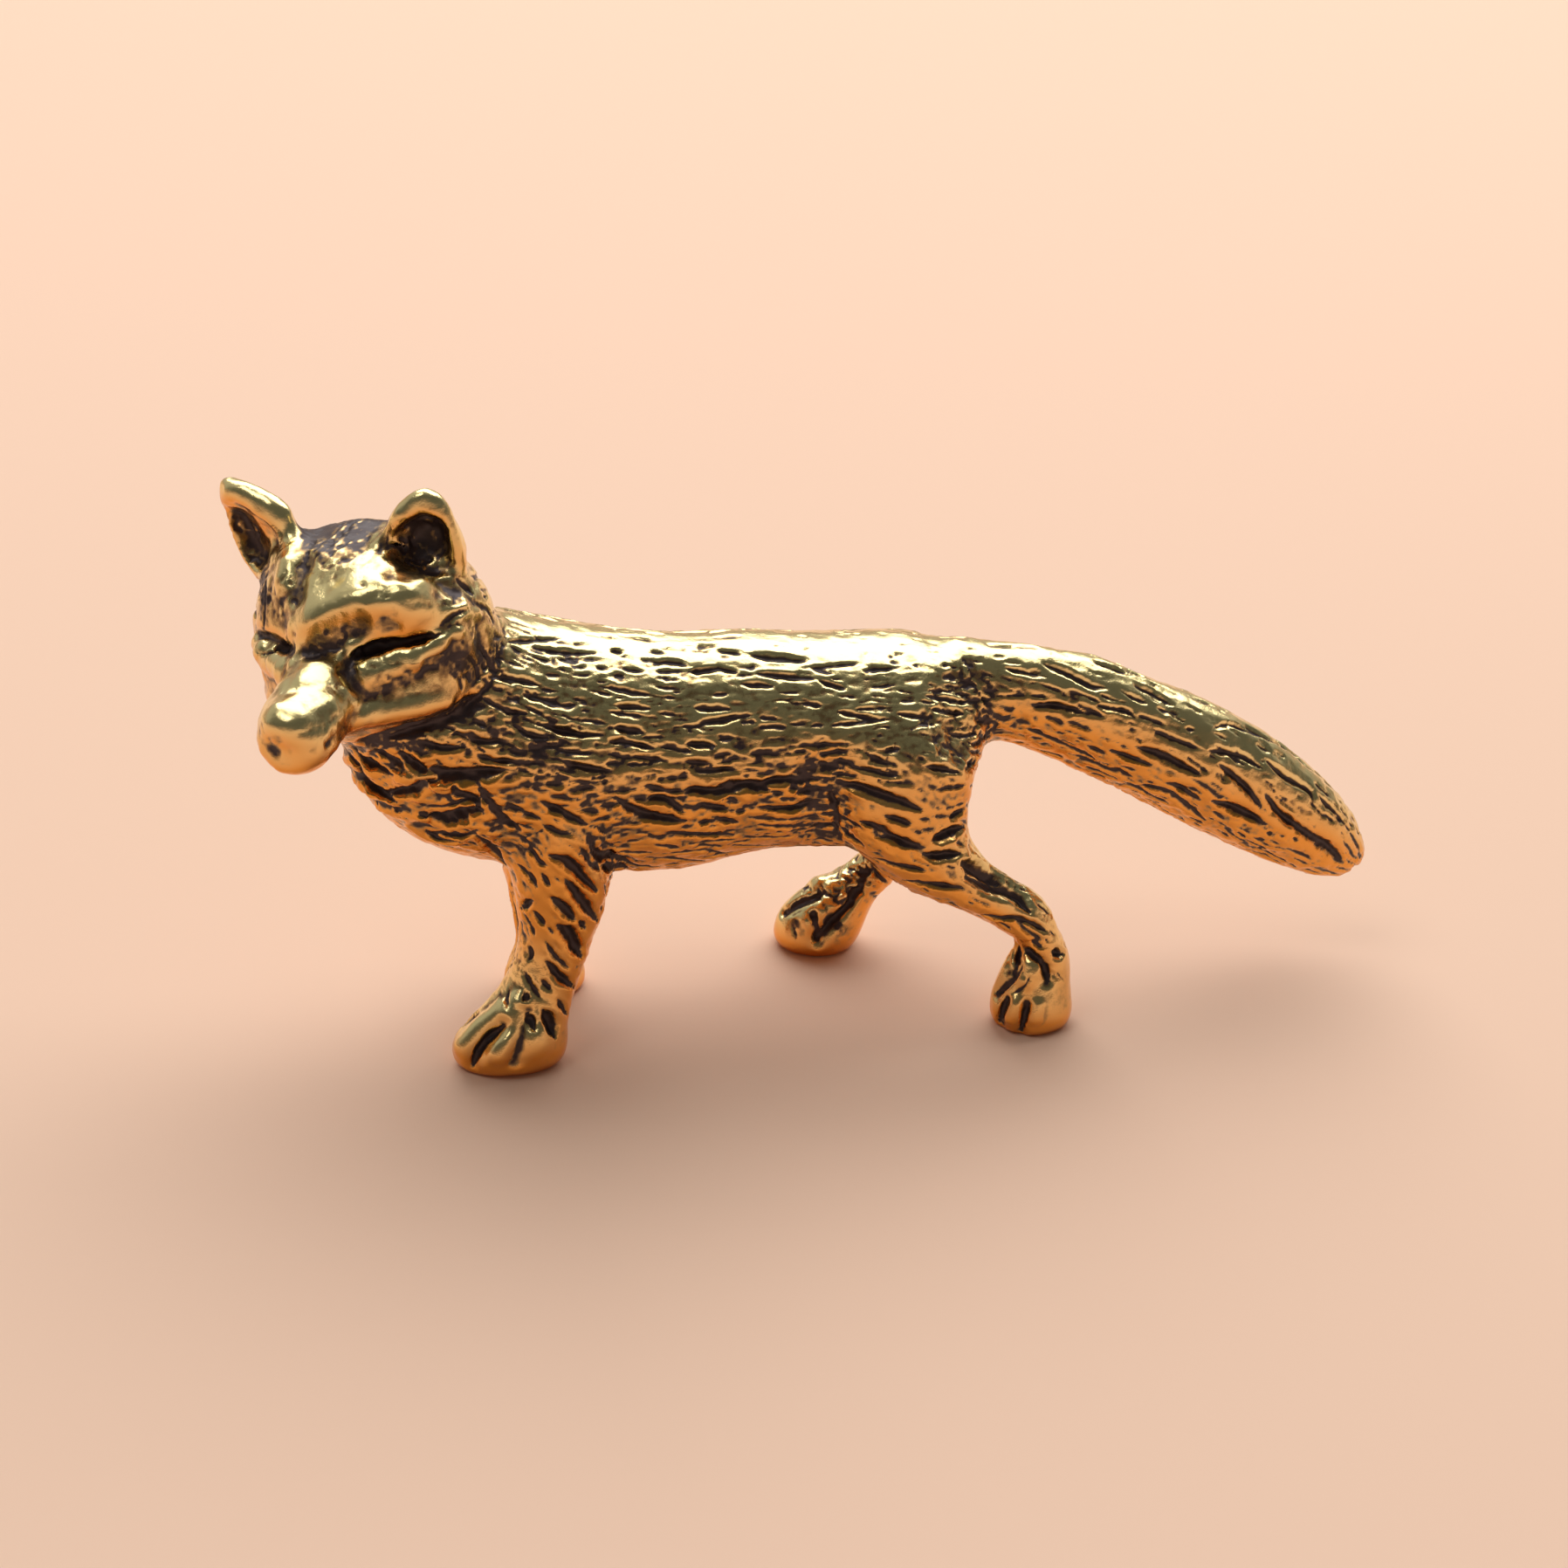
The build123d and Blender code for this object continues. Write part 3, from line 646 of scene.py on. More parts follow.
def raise_forms(surface, forms, across=None, firm=False):
    """Presses forms into the surface."""
    rise = form_field(surface, forms, across, firm)
    surface.points = surface.points + surface.normals() * rise[:, None]
    if firm:
        weight = np.clip(np.abs(rise) / EASED_RISE, 0, 1)[:, None]
        surface.points = surface.softened(surface.points, EASING_TIMES, weight)


# How far the edge of a cut line strays, in millimetres.
RAGGED_WIDTH = 0.17

# Half the width of a cut line, as a share of the width that its table gives.
LINE_HALF_WIDTH = 0.62

# How fast a cut deepens from its edge to its middle.
CUT_STEEPNESS = 1.5

# The valley around a cut and the lip beside it. Depth and height are shares of the cut's depth, and reach, place
# and width shares of its half width. Valleys add up to the deepest one, in millimetres.
CUT_REACH = 3.0
VALLEY_DEPTH = 0.30
VALLEY_REACH = 2.2
DEEPEST_VALLEY = 0.16
LIP_HEIGHT = 0.16
LIP_PLACE = 1.35
LIP_WIDTH = 0.35


class Carving:
    """What the graver has cut so far: the grooves, the valleys around them and their lips."""

    def __init__(self, surface):
        self.tree = surface.tree()
        self.presser = Presser(surface)
        self.groove = np.zeros(len(surface.points))
        self.valley = np.zeros(len(surface.points))
        self.lip = np.zeros(len(surface.points))

    def trace(self, lines, depth_share, across=None):
        """Cuts lines of pixels, and the same lines on the far side of the body or head."""
        for width, *pixels in lines:
            line = traced(self.tree, pixels)
            if len(line) < 2:
                continue
            half_width = width / PIXELS_PER_MM * LINE_HALF_WIDTH
            for one in [line, mirrored(self.tree, line, across)] if across else [line]:
                self.cut(one, half_width, width / PIXELS_PER_MM * depth_share)

    def trace_places(self, lines, depth_share):
        """Cuts lines of places in millimetres."""
        for half_width, *places in lines:
            line = []
            for place in curved(places, TRACED_STEP):
                found = self.tree.find_nearest(Vector(place))
                line.append((found[0], found[1]))
            self.cut(line, half_width, 2 * half_width * depth_share)

    def cut(self, line, half_width, depth):
        """Cuts one line of places and normals."""
        index, part, ends = self.presser.along(line, half_width, CUT_REACH)
        if not len(index):
            return
        part = np.abs(part + self.presser.ragged[index] * RAGGED_WIDTH / half_width)
        inside = depth * ends * np.clip(1 - part ** 2, 0, 1) ** CUT_STEEPNESS
        valley = VALLEY_DEPTH * depth * ends * np.clip(1 - (part / VALLEY_REACH) ** 2, 0, 1) ** 2
        lip = LIP_HEIGHT * depth * ends * np.exp(-((part - LIP_PLACE) / LIP_WIDTH) ** 2)
        self.groove[index] = np.maximum(self.groove[index], inside)
        self.valley[index] += valley * np.clip(1 - self.valley[index] / DEEPEST_VALLEY, 0, 1)
        self.lip[index] = np.maximum(self.lip[index], lip)


# ------------------------------------------------------------------ the run of the fur

# The head's middle in millimetres, the way it faces, and its left side.
HEAD_CENTRE = Vector((-22.7, 0.53, 22.0))
HEAD_FORWARD = Vector((-0.545, -0.839, 0.0))
HEAD_SIDE = Vector((0.824, -0.535, 0.191))

# How the fur lies: its rise for each millimetre that it runs back. The tail's changes along X, the hind legs'
# with height, and the torso's adds the throat's in full at the first place and not at all at the second.
TAIL_PLACES, TAIL_SLOPES = (6.0, 12.0, 18.0, 24.0, 30.0), (-0.10, -0.35, -0.62, -0.85, -1.0)
HIND_LEG_PLACES, HIND_LEG_SLOPES = (4.0, 9.0, 13.0), (-0.9, -0.55, -0.25)
THROAT_RANGE, THROAT_SLOPE, TORSO_SLOPE = (-21.0, -13.0), -1.2, -0.1
FRONT_LEG_RUN = (0.62, 0.0, -0.78)
HEAD_DROOP = (0.0, 0.0, -0.25)


def fur_direction(place, section):
    """The way the fur lies at a place on a section."""
    if section == "tail":
        return Vector((1.0, 0.0, np.interp(place.x, TAIL_PLACES, TAIL_SLOPES)))
    if section in ("front_left_leg", "front_right_leg"):
        return Vector(FRONT_LEG_RUN)
    if section in ("hind_left_leg", "hind_right_leg"):
        return Vector((1.0, 0.0, np.interp(place.z, HIND_LEG_PLACES, HIND_LEG_SLOPES)))
    if section == "head":
        return -HEAD_FORWARD + Vector(HEAD_DROOP)
    throat = np.interp(place.x, THROAT_RANGE, (1.0, 0.0))
    return Vector((1.0, 0.0, TORSO_SLOPE + THROAT_SLOPE * throat))


# The step along a line of fur in millimetres, how far it may turn at each step in radians, and the least run
# along the surface that it still follows.
FUR_STEP = 0.12
FUR_SWAY = 0.15
LEAST_RUN = 0.05


def combed(tree, place, normal, section, length, rng):
    """A short line of fur that starts at a place and follows the run of the fur."""
    line = [(place, normal)]
    sway = rng.uniform(-FUR_SWAY, FUR_SWAY)
    for _ in range(int(length / FUR_STEP)):
        place, normal = line[-1]
        run = fur_direction(place, section)
        run = run - normal * run.dot(normal)
        if run.length < LEAST_RUN:
            break
        run = Matrix.Rotation(sway, 3, normal) @ run.normalized()
        found = tree.find_nearest(place + run * FUR_STEP)
        line.append((found[0], found[1]))
    return line


# Sizes of the loose fur. Columns: lines to each square millimetre, least and greatest length, half width and
# depth in millimetres.
FUR_SIZES = [
    (0.12, 1.4, 3.4, 0.16, 0.13),
    (0.38, 0.7, 1.8, 0.12, 0.09),
    (0.95, 0.3, 0.9, 0.09, 0.07),
]
FUR_SHARE = {
    "torso": 1.0, "tail": 1.0, "head": 0.8, "left_ear": 0.0, "right_ear": 0.0,
    "front_left_leg": 0.35, "front_right_leg": 0.8, "hind_left_leg": 0.5, "hind_right_leg": 0.6,
}

# The skin's area at each of its points, in square millimetres.
POINT_AREA = 0.01

# How a line of loose fur varies in size, and how deep a cut it keeps clear of, as a share of its own depth.
FUR_SCALES = (0.75, 1.3)
CLEAR_OF = 0.3

# Where loose fur is left out: the most of it that rubbing takes, the share of it on the throat, the throat's
# back and top, the top of the paws, and where the face starts, in front of the head's middle, in millimetres.
MOST_RUBBED = 0.7
THROAT_BARE = 0.6
THROAT_X, THROAT_Z = -15, 17
PAW_TOP = 3.2
FACE_START = -1.2


def comb_fur(surface, owner, stain_and_shade, carving, rng):
    """Loose fur over the whole body, which keeps clear of the lines that are there already."""
    normals = carving.presser.normals
    for density, least, most, half_width, depth in FUR_SIZES:
        count = int(len(surface.points) * POINT_AREA * density)
        for i in rng.sample(range(len(surface.points)), count):
            section = SECTIONS[owner[i]]
            rubbed = min(MOST_RUBBED, max(0, -stain_and_shade[i]))
            if rng.random() > FUR_SHARE[section] * (1 - rubbed) or carving.groove[i] > CLEAR_OF * depth:
                continue
            place = Vector(surface.points[i])
            throat = place.x < THROAT_X and place.z < THROAT_Z and section == "torso"
            if throat and rng.random() < THROAT_BARE:
                continue
            if place.z < PAW_TOP or (section == "head" and (place - HEAD_CENTRE).dot(HEAD_FORWARD) > FACE_START):
                continue
            length = rng.uniform(least, most)
            line = combed(carving.tree, place, Vector(normals[i]), section, length, rng)
            if len(line) > 2:
                size = rng.uniform(*FUR_SCALES)
                carving.cut(line, half_width * size, depth * size)


# ------------------------------------------------------------------ building the skin


def blend_joins(surface, reach, times):
    """Lets the sections run into one another where they meet."""
    far = np.sort(node_distances(surface, reach), axis=1)[:, 1]
    weight = np.clip(1 - far / reach, 0, 1)
    weight = (weight * weight * (3 - 2 * weight))[:, None]
    surface.points = surface.softened(surface.points, times, weight)


# How far a point looks for the section that is evened out, in millimetres, the softening of its border, and
# the rounds over which its lost thickness is spread, as a multiple of those that even it out.
EVENED_REACH = 1.0
EVENED_BORDER = 6
SPREAD_ROUNDS = 3


def even_out(surface, section, times):
    """Evens out the furrows of one section, which are cut again line by line, without thinning it."""
    far = node_distances(surface, EVENED_REACH)
    mine = surface.softened((far.argmin(1) == SECTIONS.index(section)).astype(float), EVENED_BORDER)
    even = surface.softened(surface.points, times, mine[:, None])
    lost = ((surface.points - even) * surface.normals()).sum(1)
    surface.points = even + surface.normals() * (mine * surface.softened(lost, SPREAD_ROUNDS * times))[:, None]


def hollowness(surface, times):
    """How far each point lies under the mean of its surroundings, in millimetres."""
    return ((surface.softened(surface.points, times) - surface.points) * surface.normals()).sum(1)


# How far noise is drawn out along the fur: this share of the way along it is taken away.
DRAWN_OUT = 0.55


def stretched(points, owner):
    """The points with the way of the fur drawn together, so that noise in them is long that way."""
    places = points.copy()
    for number, name in enumerate(SECTIONS):
        mine = owner == number
        if not mine.any():
            continue
        run = np.array(fur_direction(Vector(points[mine].mean(0)), name).normalized())
        places[mine] -= DRAWN_OUT * (points[mine] @ run)[:, None] * run
    return places


# How many times over the joins and the tail's furrows are softened.
JOIN_TIMES = 40
FURROW_TIMES = 45

# The easing after each remeshing: how many times over, and how far each time.
COARSE_EASING = (2, 0.5)
FINE_EASING = (4, 0.5)


def rough_skin(fox):
    """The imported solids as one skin, with soft joins, tufts and hollow ears."""
    shells = [node_shell(name) for name in SECTIONS]
    firsts = np.cumsum([0] + [len(points) for points, _ in shells])
    points = np.concatenate([points for points, _ in shells])
    faces = np.concatenate([faces + first for (_, faces), first in zip(shells, firsts)])
    coarse = Surface(*remeshed(points, faces, fox.form_voxel / MM))
    blend_joins(coarse, fox.join_reach / MM, JOIN_TIMES)
    even_out(coarse, "tail", FURROW_TIMES)
    coarse.points = coarse.softened(coarse.points, *COARSE_EASING)
    raise_forms(coarse, BODY_FORMS, across_body)
    pull(coarse, PULLS)
    raise_forms(coarse, EAR_FORMS, None, True)
    return coarse


def fine_skin(coarse, fox):
    """The skin in its final mesh, with the forms of the face and paws."""
    triangles = np.concatenate([coarse.faces[:, [0, 1, 2]], coarse.faces[:, [0, 2, 3]]])
    skin = Surface(*remeshed(coarse.points, triangles, fox.voxel / MM))
    skin.points = skin.softened(skin.points, *FINE_EASING)
    raise_forms(skin, FACE_FORMS + PAW_FORMS)
    raise_forms(skin, CHEEK_FORMS, across_head)
    return skin


# The depth of the cut lines as a share of their width.
EYE_DEPTH = 0.7
FACE_DEPTH = 0.45
TOE_DEPTH = 0.36
HIDDEN_TOE_DEPTH = 0.4
FUR_DEPTH = 0.55


def carve_lines(skin):
    """Cuts the drawn lines of the face, paws and fur."""
    carving = Carving(skin)
    carving.trace(EYE_LINES, EYE_DEPTH)
    carving.trace(HEAD_LINES, FACE_DEPTH)
    carving.trace(CHEEK_LINES, FACE_DEPTH, across_head)
    carving.trace(HIND_PAW_LINES, TOE_DEPTH)
    carving.trace_places(HIDDEN_TOES, HIDDEN_TOE_DEPTH)
    for lines in (THROAT_LINES, FRONT_LEG_LINES, FLANK_LINES, HAUNCH_LINES, TAIL_LINES):
        carving.trace(lines, FUR_DEPTH, across_body)
    return carving


# The noises of the cast surface. Columns: size of its features in millimetres, and its seed.
PITS, SMALL_PITS = (0.34, 21), (0.19, 22)
LUMPS, SMALL_LUMPS = (1.1, 23), (0.5, 24)
RIDGES, SMALL_RIDGES = (0.34, 25), (0.17, 26)
PATCHES, SPECKS = (0.5, 27), (0.2, 28)

# The finer noise of the pits and of the ridges, as a share of the coarser.
SMALL_SHARE = 0.5

# How far down the paws are smoother than the fur, in millimetres: none at the first height, and all of it this
# much lower.
PAW_START, PAW_BLEND = 3.6, 0.8

# How many times over the face's border is softened.
FACE_BORDER = 20

# The easing of the grooves: how many times over, and how far each time.
GROOVE_EASING = (1, 0.5)

# A lip fades out over a groove of this depth, in millimetres.
LIP_FADE = 0.12

# Pits: the least noise that makes one, their depth in millimetres, how much of them is on clean metal, how a
# stain adds to that and within which limits, and how much the paws lose.
PIT_START = 0.15
PIT_DEPTH = 0.11
PIT_CLEAN = 0.3
PIT_LIMITS = (0.16, 1.1)
PIT_PAW_LOSS = 0.7

# Ridges: their height on clean metal, what a full stain adds, and their limits, in millimetres.
RIDGE_CLEAN, RIDGE_STAIN = 0.04, 0.09
RIDGE_LIMITS = (0.02, 0.12)

# Lumps: their heights in millimetres, what the face adds to the small ones, and how much the paws lose.
LUMP_HEIGHT, SMALL_LUMP_HEIGHT, FACE_LUMP_HEIGHT = 0.05, 0.022, 0.016
LUMP_PAW_LOSS = 0.3


def press_texture(skin, stain_and_shade, face, along, carving):
    """Presses the cuts and the texture of the casting into the skin, and returns the depth of its grooves."""
    groove = skin.softened(carving.groove, *GROOVE_EASING)
    lip = carving.lip * np.clip(1 - groove / LIP_FADE, 0, 1)
    worn = np.clip(PIT_CLEAN + stain_and_shade, *PIT_LIMITS)
    pits = np.clip(grain(along, *PITS) + SMALL_SHARE * grain(skin.points, *SMALL_PITS) - PIT_START, 0, 1)
    paw = np.clip((PAW_START - skin.points[:, 2]) / PAW_BLEND, 0, 1)
    rough = np.clip(RIDGE_CLEAN + RIDGE_STAIN * stain_and_shade, *RIDGE_LIMITS) * (1 - face) * (1 - paw)
    ridges = rough * (grain(along, *RIDGES) + SMALL_SHARE * grain(along, *SMALL_RIDGES))
    small_lumps = (SMALL_LUMP_HEIGHT + FACE_LUMP_HEIGHT * face) * grain(skin.points, *SMALL_LUMPS)
    lumps = LUMP_HEIGHT * grain(along, *LUMPS) + small_lumps
    press = lip - groove - carving.valley - PIT_DEPTH * pits * worn * (1 - PIT_PAW_LOSS * paw)
    press = press + ridges + lumps * (1 - LUMP_PAW_LOSS * paw)
    skin.points = skin.points + carving.presser.normals * press[:, None]
    skin.points[:, 2] = np.maximum(skin.points[:, 2], 0)
    return groove


# The surroundings that a small and a middle hollow are measured against, as times of softening.
SMALL_HOLLOW, MIDDLE_HOLLOW = 4, 25

# What makes the patina, from 0 where it is rubbed away to 1 where it is whole: a groove of full depth (in
# millimetres), each millimetre of a small and a middle hollow, a full stain (a few of which are painted shade), and
# what the face takes from the middle hollows. The sum is kept within limits.
FULL_GROOVE, GROOVE_PATINA = 0.20, 0.4
SMALL_HOLLOW_PATINA, MIDDLE_HOLLOW_PATINA = 14, 7
STAIN_PATINA = 0.75
FACE_HOLLOW_LOSS = 0.5
PATINA_LIMITS = (-0.8, 1.6)

# How noise breaks a stain up: what it has without noise, its patches and its specks, what the face adds to the
# first and takes from the second, and the most that a stain grows.
EVEN_SHARE, FACE_EVEN_SHARE = 0.55, 0.2
PATCH_SHARE, FACE_PATCH_LOSS = 0.8, 0.3
SPECK_SHARE = 0.6
MOST_GROWTH = 1.3

# The painted reflection of warm light from below, as a share that turns the brass orange: its amount on a side that
# stands upright, what the face takes away, what facing up takes away, and the times of softening over which that is
# measured. Surfaces that face down get the most of it.
SIDE_REFLECTION, FACE_REFLECTION_LOSS, UP_REFLECTION_LOSS = 0.9, 0.4, 1.5
REFLECTION_TIMES = 20


def tone_metal(skin, stain_and_shade, face, along, groove, carving):
    """The patina at each point, and the share of painted reflection from below that turns the brass orange."""
    small = hollowness(skin, SMALL_HOLLOW)
    middle = hollowness(skin, MIDDLE_HOLLOW)
    patches = (PATCH_SHARE - FACE_PATCH_LOSS * face) * grain(along, *PATCHES)
    broken = EVEN_SHARE + FACE_EVEN_SHARE * face + patches + SPECK_SHARE * grain(skin.points, *SPECKS)
    # Patina from the stains, including the few entries that paint in shade.
    left = STAIN_PATINA * np.where(stain_and_shade > 0, stain_and_shade * np.clip(broken, 0, MOST_GROWTH), stain_and_shade)
    patina = np.clip(groove / FULL_GROOVE, 0, 1) * GROOVE_PATINA + small * SMALL_HOLLOW_PATINA
    patina = patina + middle * MIDDLE_HOLLOW_PATINA * (1 - FACE_HOLLOW_LOSS * face) + left
    upward = skin.softened(carving.presser.normals[:, 2], REFLECTION_TIMES)
    painted_reflection = np.clip(SIDE_REFLECTION - FACE_REFLECTION_LOSS * face - UP_REFLECTION_LOSS * upward, 0, 1)
    return np.clip(patina, *PATINA_LIMITS), painted_reflection


# How far a point looks for the section that it belongs to, in millimetres, and the softening of the borders.
SECTION_REACH = 1.5
SECTION_BORDER = 12


def make_skin():
    """Models the whole surface, and keeps it with each point's section, patina, share of painted reflection and
    normal.
    """
    fox = settings()
    skin = fine_skin(rough_skin(fox), fox)
    owner = skin.softened(node_distances(skin, SECTION_REACH), SECTION_BORDER).argmin(1)
    stain_and_shade = form_field(skin, STAINS_AND_SHADE, across_body, True)
    carving = carve_lines(skin)
    comb_fur(skin, owner, stain_and_shade, carving, random.Random(fox.seed))
    along = stretched(skin.points, owner)
    on_face = np.isin(owner, [SECTIONS.index(name) for name in ("head", "left_ear", "right_ear")])
    face = skin.softened(on_face.astype(float), FACE_BORDER)
    groove = press_texture(skin, stain_and_shade, face, along, carving)
    patina, painted_reflection = tone_metal(skin, stain_and_shade, face, along, groove, carving)
    store(skin, owner, patina, painted_reflection)


def store(skin, owner, patina, painted_reflection):
    """Keeps the skin as a mesh that the sections are cut from."""
    mesh = new_mesh(SKIN_NAME, skin.points * MM, skin.faces)
    mesh.attributes.new("section", "INT", "POINT").data.foreach_set("value", owner.astype(np.int32))
    mesh.attributes.new("patina", "FLOAT", "POINT").data.foreach_set("value", patina.astype(np.float32))
    mesh.attributes.new("painted_reflection", "FLOAT", "POINT").data.foreach_set("value", painted_reflection.astype(np.float32))
    normals = mesh.attributes.new("facing", "FLOAT_VECTOR", "POINT")
    normals.data.foreach_set("vector", skin.normals().astype(np.float32).ravel())


# ------------------------------------------------------------------ cutting the skin into sections


def skin_arrays():
    """The kept skin's points, faces, and each point's section, patina, share of painted reflection and normal."""
    mesh = bpy.data.meshes[SKIN_NAME]
    points = np.empty(len(mesh.vertices) * 3)
    mesh.vertices.foreach_get("co", points)
    faces = np.empty(len(mesh.loops), int)
    mesh.loops.foreach_get("vertex_index", faces)
    facing = np.empty(len(mesh.vertices) * 3, np.float32)
    mesh.attributes["facing"].data.foreach_get("vector", facing)
    values = []
    for name, kind in (("section", np.int32), ("patina", np.float32), ("painted_reflection", np.float32)):
        values.append(np.empty(len(mesh.vertices), kind))
        mesh.attributes[name].data.foreach_get("value", values[-1])
    return points.reshape(-1, 3), faces.reshape(-1, 4), *values, facing.reshape(-1, 3)


def rims(faces):
    """The open rims of a patch of faces, each as a ring of points that runs through no point twice."""
    sides = np.concatenate([faces[:, [k, (k + 1) % 4]] for k in range(4)])
    base = faces.max() + 1
    open_sides = sides[~np.isin(sides[:, 0] * base + sides[:, 1], sides[:, 1] * base + sides[:, 0])]
    following = {}
    for a, b in open_sides.tolist():
        following.setdefault(b, []).append(a)
    rings = []
    while following:
        start = next(iter(following))
        ring = [start]
        while True:
            steps = following[ring[-1]]
            after = steps.pop()
            if not steps:
                del following[ring[-1]]
            if after == start:
                break
            if after in ring:
                rings.append(ring[ring.index(after):])
                ring = ring[:ring.index(after)]
            ring.append(after)
        rings.append(ring)
    return rings


# Where the closing faces of a rim may meet: so far above or below its middle, in millimetres.
HUB_LIFTS = (0, 0.6, -0.6, 1.2, -1.2, 1.8, -1.8)

# Where along a closing face's side it is tested, as shares, at every so many points of the rim, and how far
# under the surface it has to be, in millimetres.
TESTED_SHARES = (0.15, 0.4, 0.7, 1.0)
TESTED_EVERY = 3
UNDER_SURFACE = 0.02


def inner_hub(ring, tree):
    """A point inside the casting that every point of an open rim sees through metal, or nearly so."""
    middle = ring.mean(0)
    lean = np.cross(ring - middle, np.roll(ring, -1, 0) - middle).sum(0)
    lean /= np.linalg.norm(lean)
    best = (math.inf, middle)
    for lift in HUB_LIFTS:
        hub = middle + lean * lift * MM
        bare = 0
        for share in TESTED_SHARES:
            for place in ring[::TESTED_EVERY] + (hub - ring[::TESTED_EVERY]) * share:
                found = tree.find_nearest(Vector(place))
                bare += (Vector(place) - found[0]).dot(found[1]) > -UNDER_SURFACE * MM
        if bare < best[0]:
            best = (bare, hub)
    return best[1]


# The patina and the share of painted reflection inside the casting, where the closing faces of a rim meet.
INNER_PATINA, INNER_REFLECTION = 1.0, 0.0


def make_section(name):
    """One section of the skin as a closed piece that stands for its node.

    A face belongs to the section of most of its corners, and where two have as many, of its first corner.
    """
    points, faces, owner, patina, painted_reflection, facing = skin_arrays()
    number = SECTIONS.index(name)
    votes = (owner[faces] == number).sum(1)
    first = owner[faces[:, 0]] == number
    mine = faces[(votes > 2) | ((votes == 2) & first)]
    used, patch = np.unique(mine, return_inverse=True)
    patch = patch.reshape(mine.shape)
    corners = points[used]
    tone = patina[used]
    reflection_share = painted_reflection[used]
    lean = facing[used]
    closing = []
    tree = search_tree(points, faces)
    for ring in rims(patch):
        hub = len(corners)
        corners = np.concatenate([corners, inner_hub(corners[ring], tree)[None]])
        tone = np.append(tone, INNER_PATINA)
        reflection_share = np.append(reflection_share, INNER_REFLECTION)
        lean = np.concatenate([lean, lean[ring[:1]]])
        closing += [(start, end, hub) for start, end in zip(ring, ring[1:] + ring[:1])]
    mesh = new_mesh(name + "_casting", corners, patch, np.array(closing))
    mesh.attributes.new("patina", "FLOAT", "POINT").data.foreach_set("value", tone.astype(np.float32))
    mesh.attributes.new("painted_reflection", "FLOAT", "POINT").data.foreach_set("value", reflection_share.astype(np.float32))
    mesh.polygons.foreach_set("use_smooth", [True] * len(mesh.polygons))
    mesh.normals_split_custom_set_from_vertices(lean)
    mesh.materials.append(bpy.data.materials[METAL_NAME])
    piece = bpy.data.objects.new(name + "_casting", mesh)
    bpy.context.scene.collection.objects.link(piece)
    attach(piece, BODY_NAME)
    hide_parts(name)


# ------------------------------------------------------------------ the finish


def add_node(tree, kind, inputs=(), **values):
    """A node with its settings, whose sockets are linked or set."""
    node = tree.nodes.new(kind)
    for name, value in values.items():
        setattr(node, name, value)
    for socket, value in dict(inputs).items():
        if isinstance(value, bpy.types.NodeSocket):
            tree.links.new(value, node.inputs[socket])
        else:
            node.inputs[socket].default_value = value
    return node


def combine(tree, operation, *values):
    """The result of arithmetic on two or three values."""
    return add_node(tree, "ShaderNodeMath", enumerate(values), operation=operation).outputs[0]


def band(tree, value, low, high, to_low=0.0, to_high=1.0):
    """A value spread smoothly from one range to another."""
    ranges = enumerate((value, low, high, to_low, to_high))
    return add_node(tree, "ShaderNodeMapRange", ranges, interpolation_type="SMOOTHSTEP").outputs[0]


def blend_colour(tree, share, first, second):
    """A colour between two, by a share. Sockets 6 and 7 of a mix node are its colours."""
    return add_node(tree, "ShaderNodeMix", {0: share, 6: first, 7: second}, data_type="RGBA").outputs[2]


# How many finer noises each noise of the metal holds, and how strong they are.
SPOT_DETAIL, SPOT_ROUGHNESS = 3.0, 0.6


def spots(tree, size):
    """Noise with features of about the given size in millimetres."""
    where = add_node(tree, "ShaderNodeTexCoord").outputs["Object"]
    inputs = {"Vector": where, "Scale": 1 / (size * MM), "Detail": SPOT_DETAIL, "Roughness": SPOT_ROUGHNESS}
    return add_node(tree, "ShaderNodeTexNoise", inputs).outputs[0]


# The noises that break the patina's edge: size of their features in millimetres, and how far they move it.
FINE_SPOTS, FINE_MOVE = 0.35, 0.9
BROAD_SPOTS, BROAD_MOVE = 2.2, 0.6

# The mean of a noise.
NOISE_MEAN = 0.5

# Where the film, the dark patina and the duller metal start and are whole, on the scale of the patina.
FILM_RANGE = (-0.25, 0.32)
DARK_RANGE = (0.12, 0.66)
DULL_RANGE = (-0.1, 0.6)

# The roughness and the metal share of the dark patina.
PATINA_ROUGHNESS = 0.38
PATINA_METAL = 0.4

# The finest texture: size of its features and height in millimetres, and its strength.
TOOTH_SIZE, TOOTH_HEIGHT, TOOTH_STRENGTH = 0.13, 0.02, 0.5


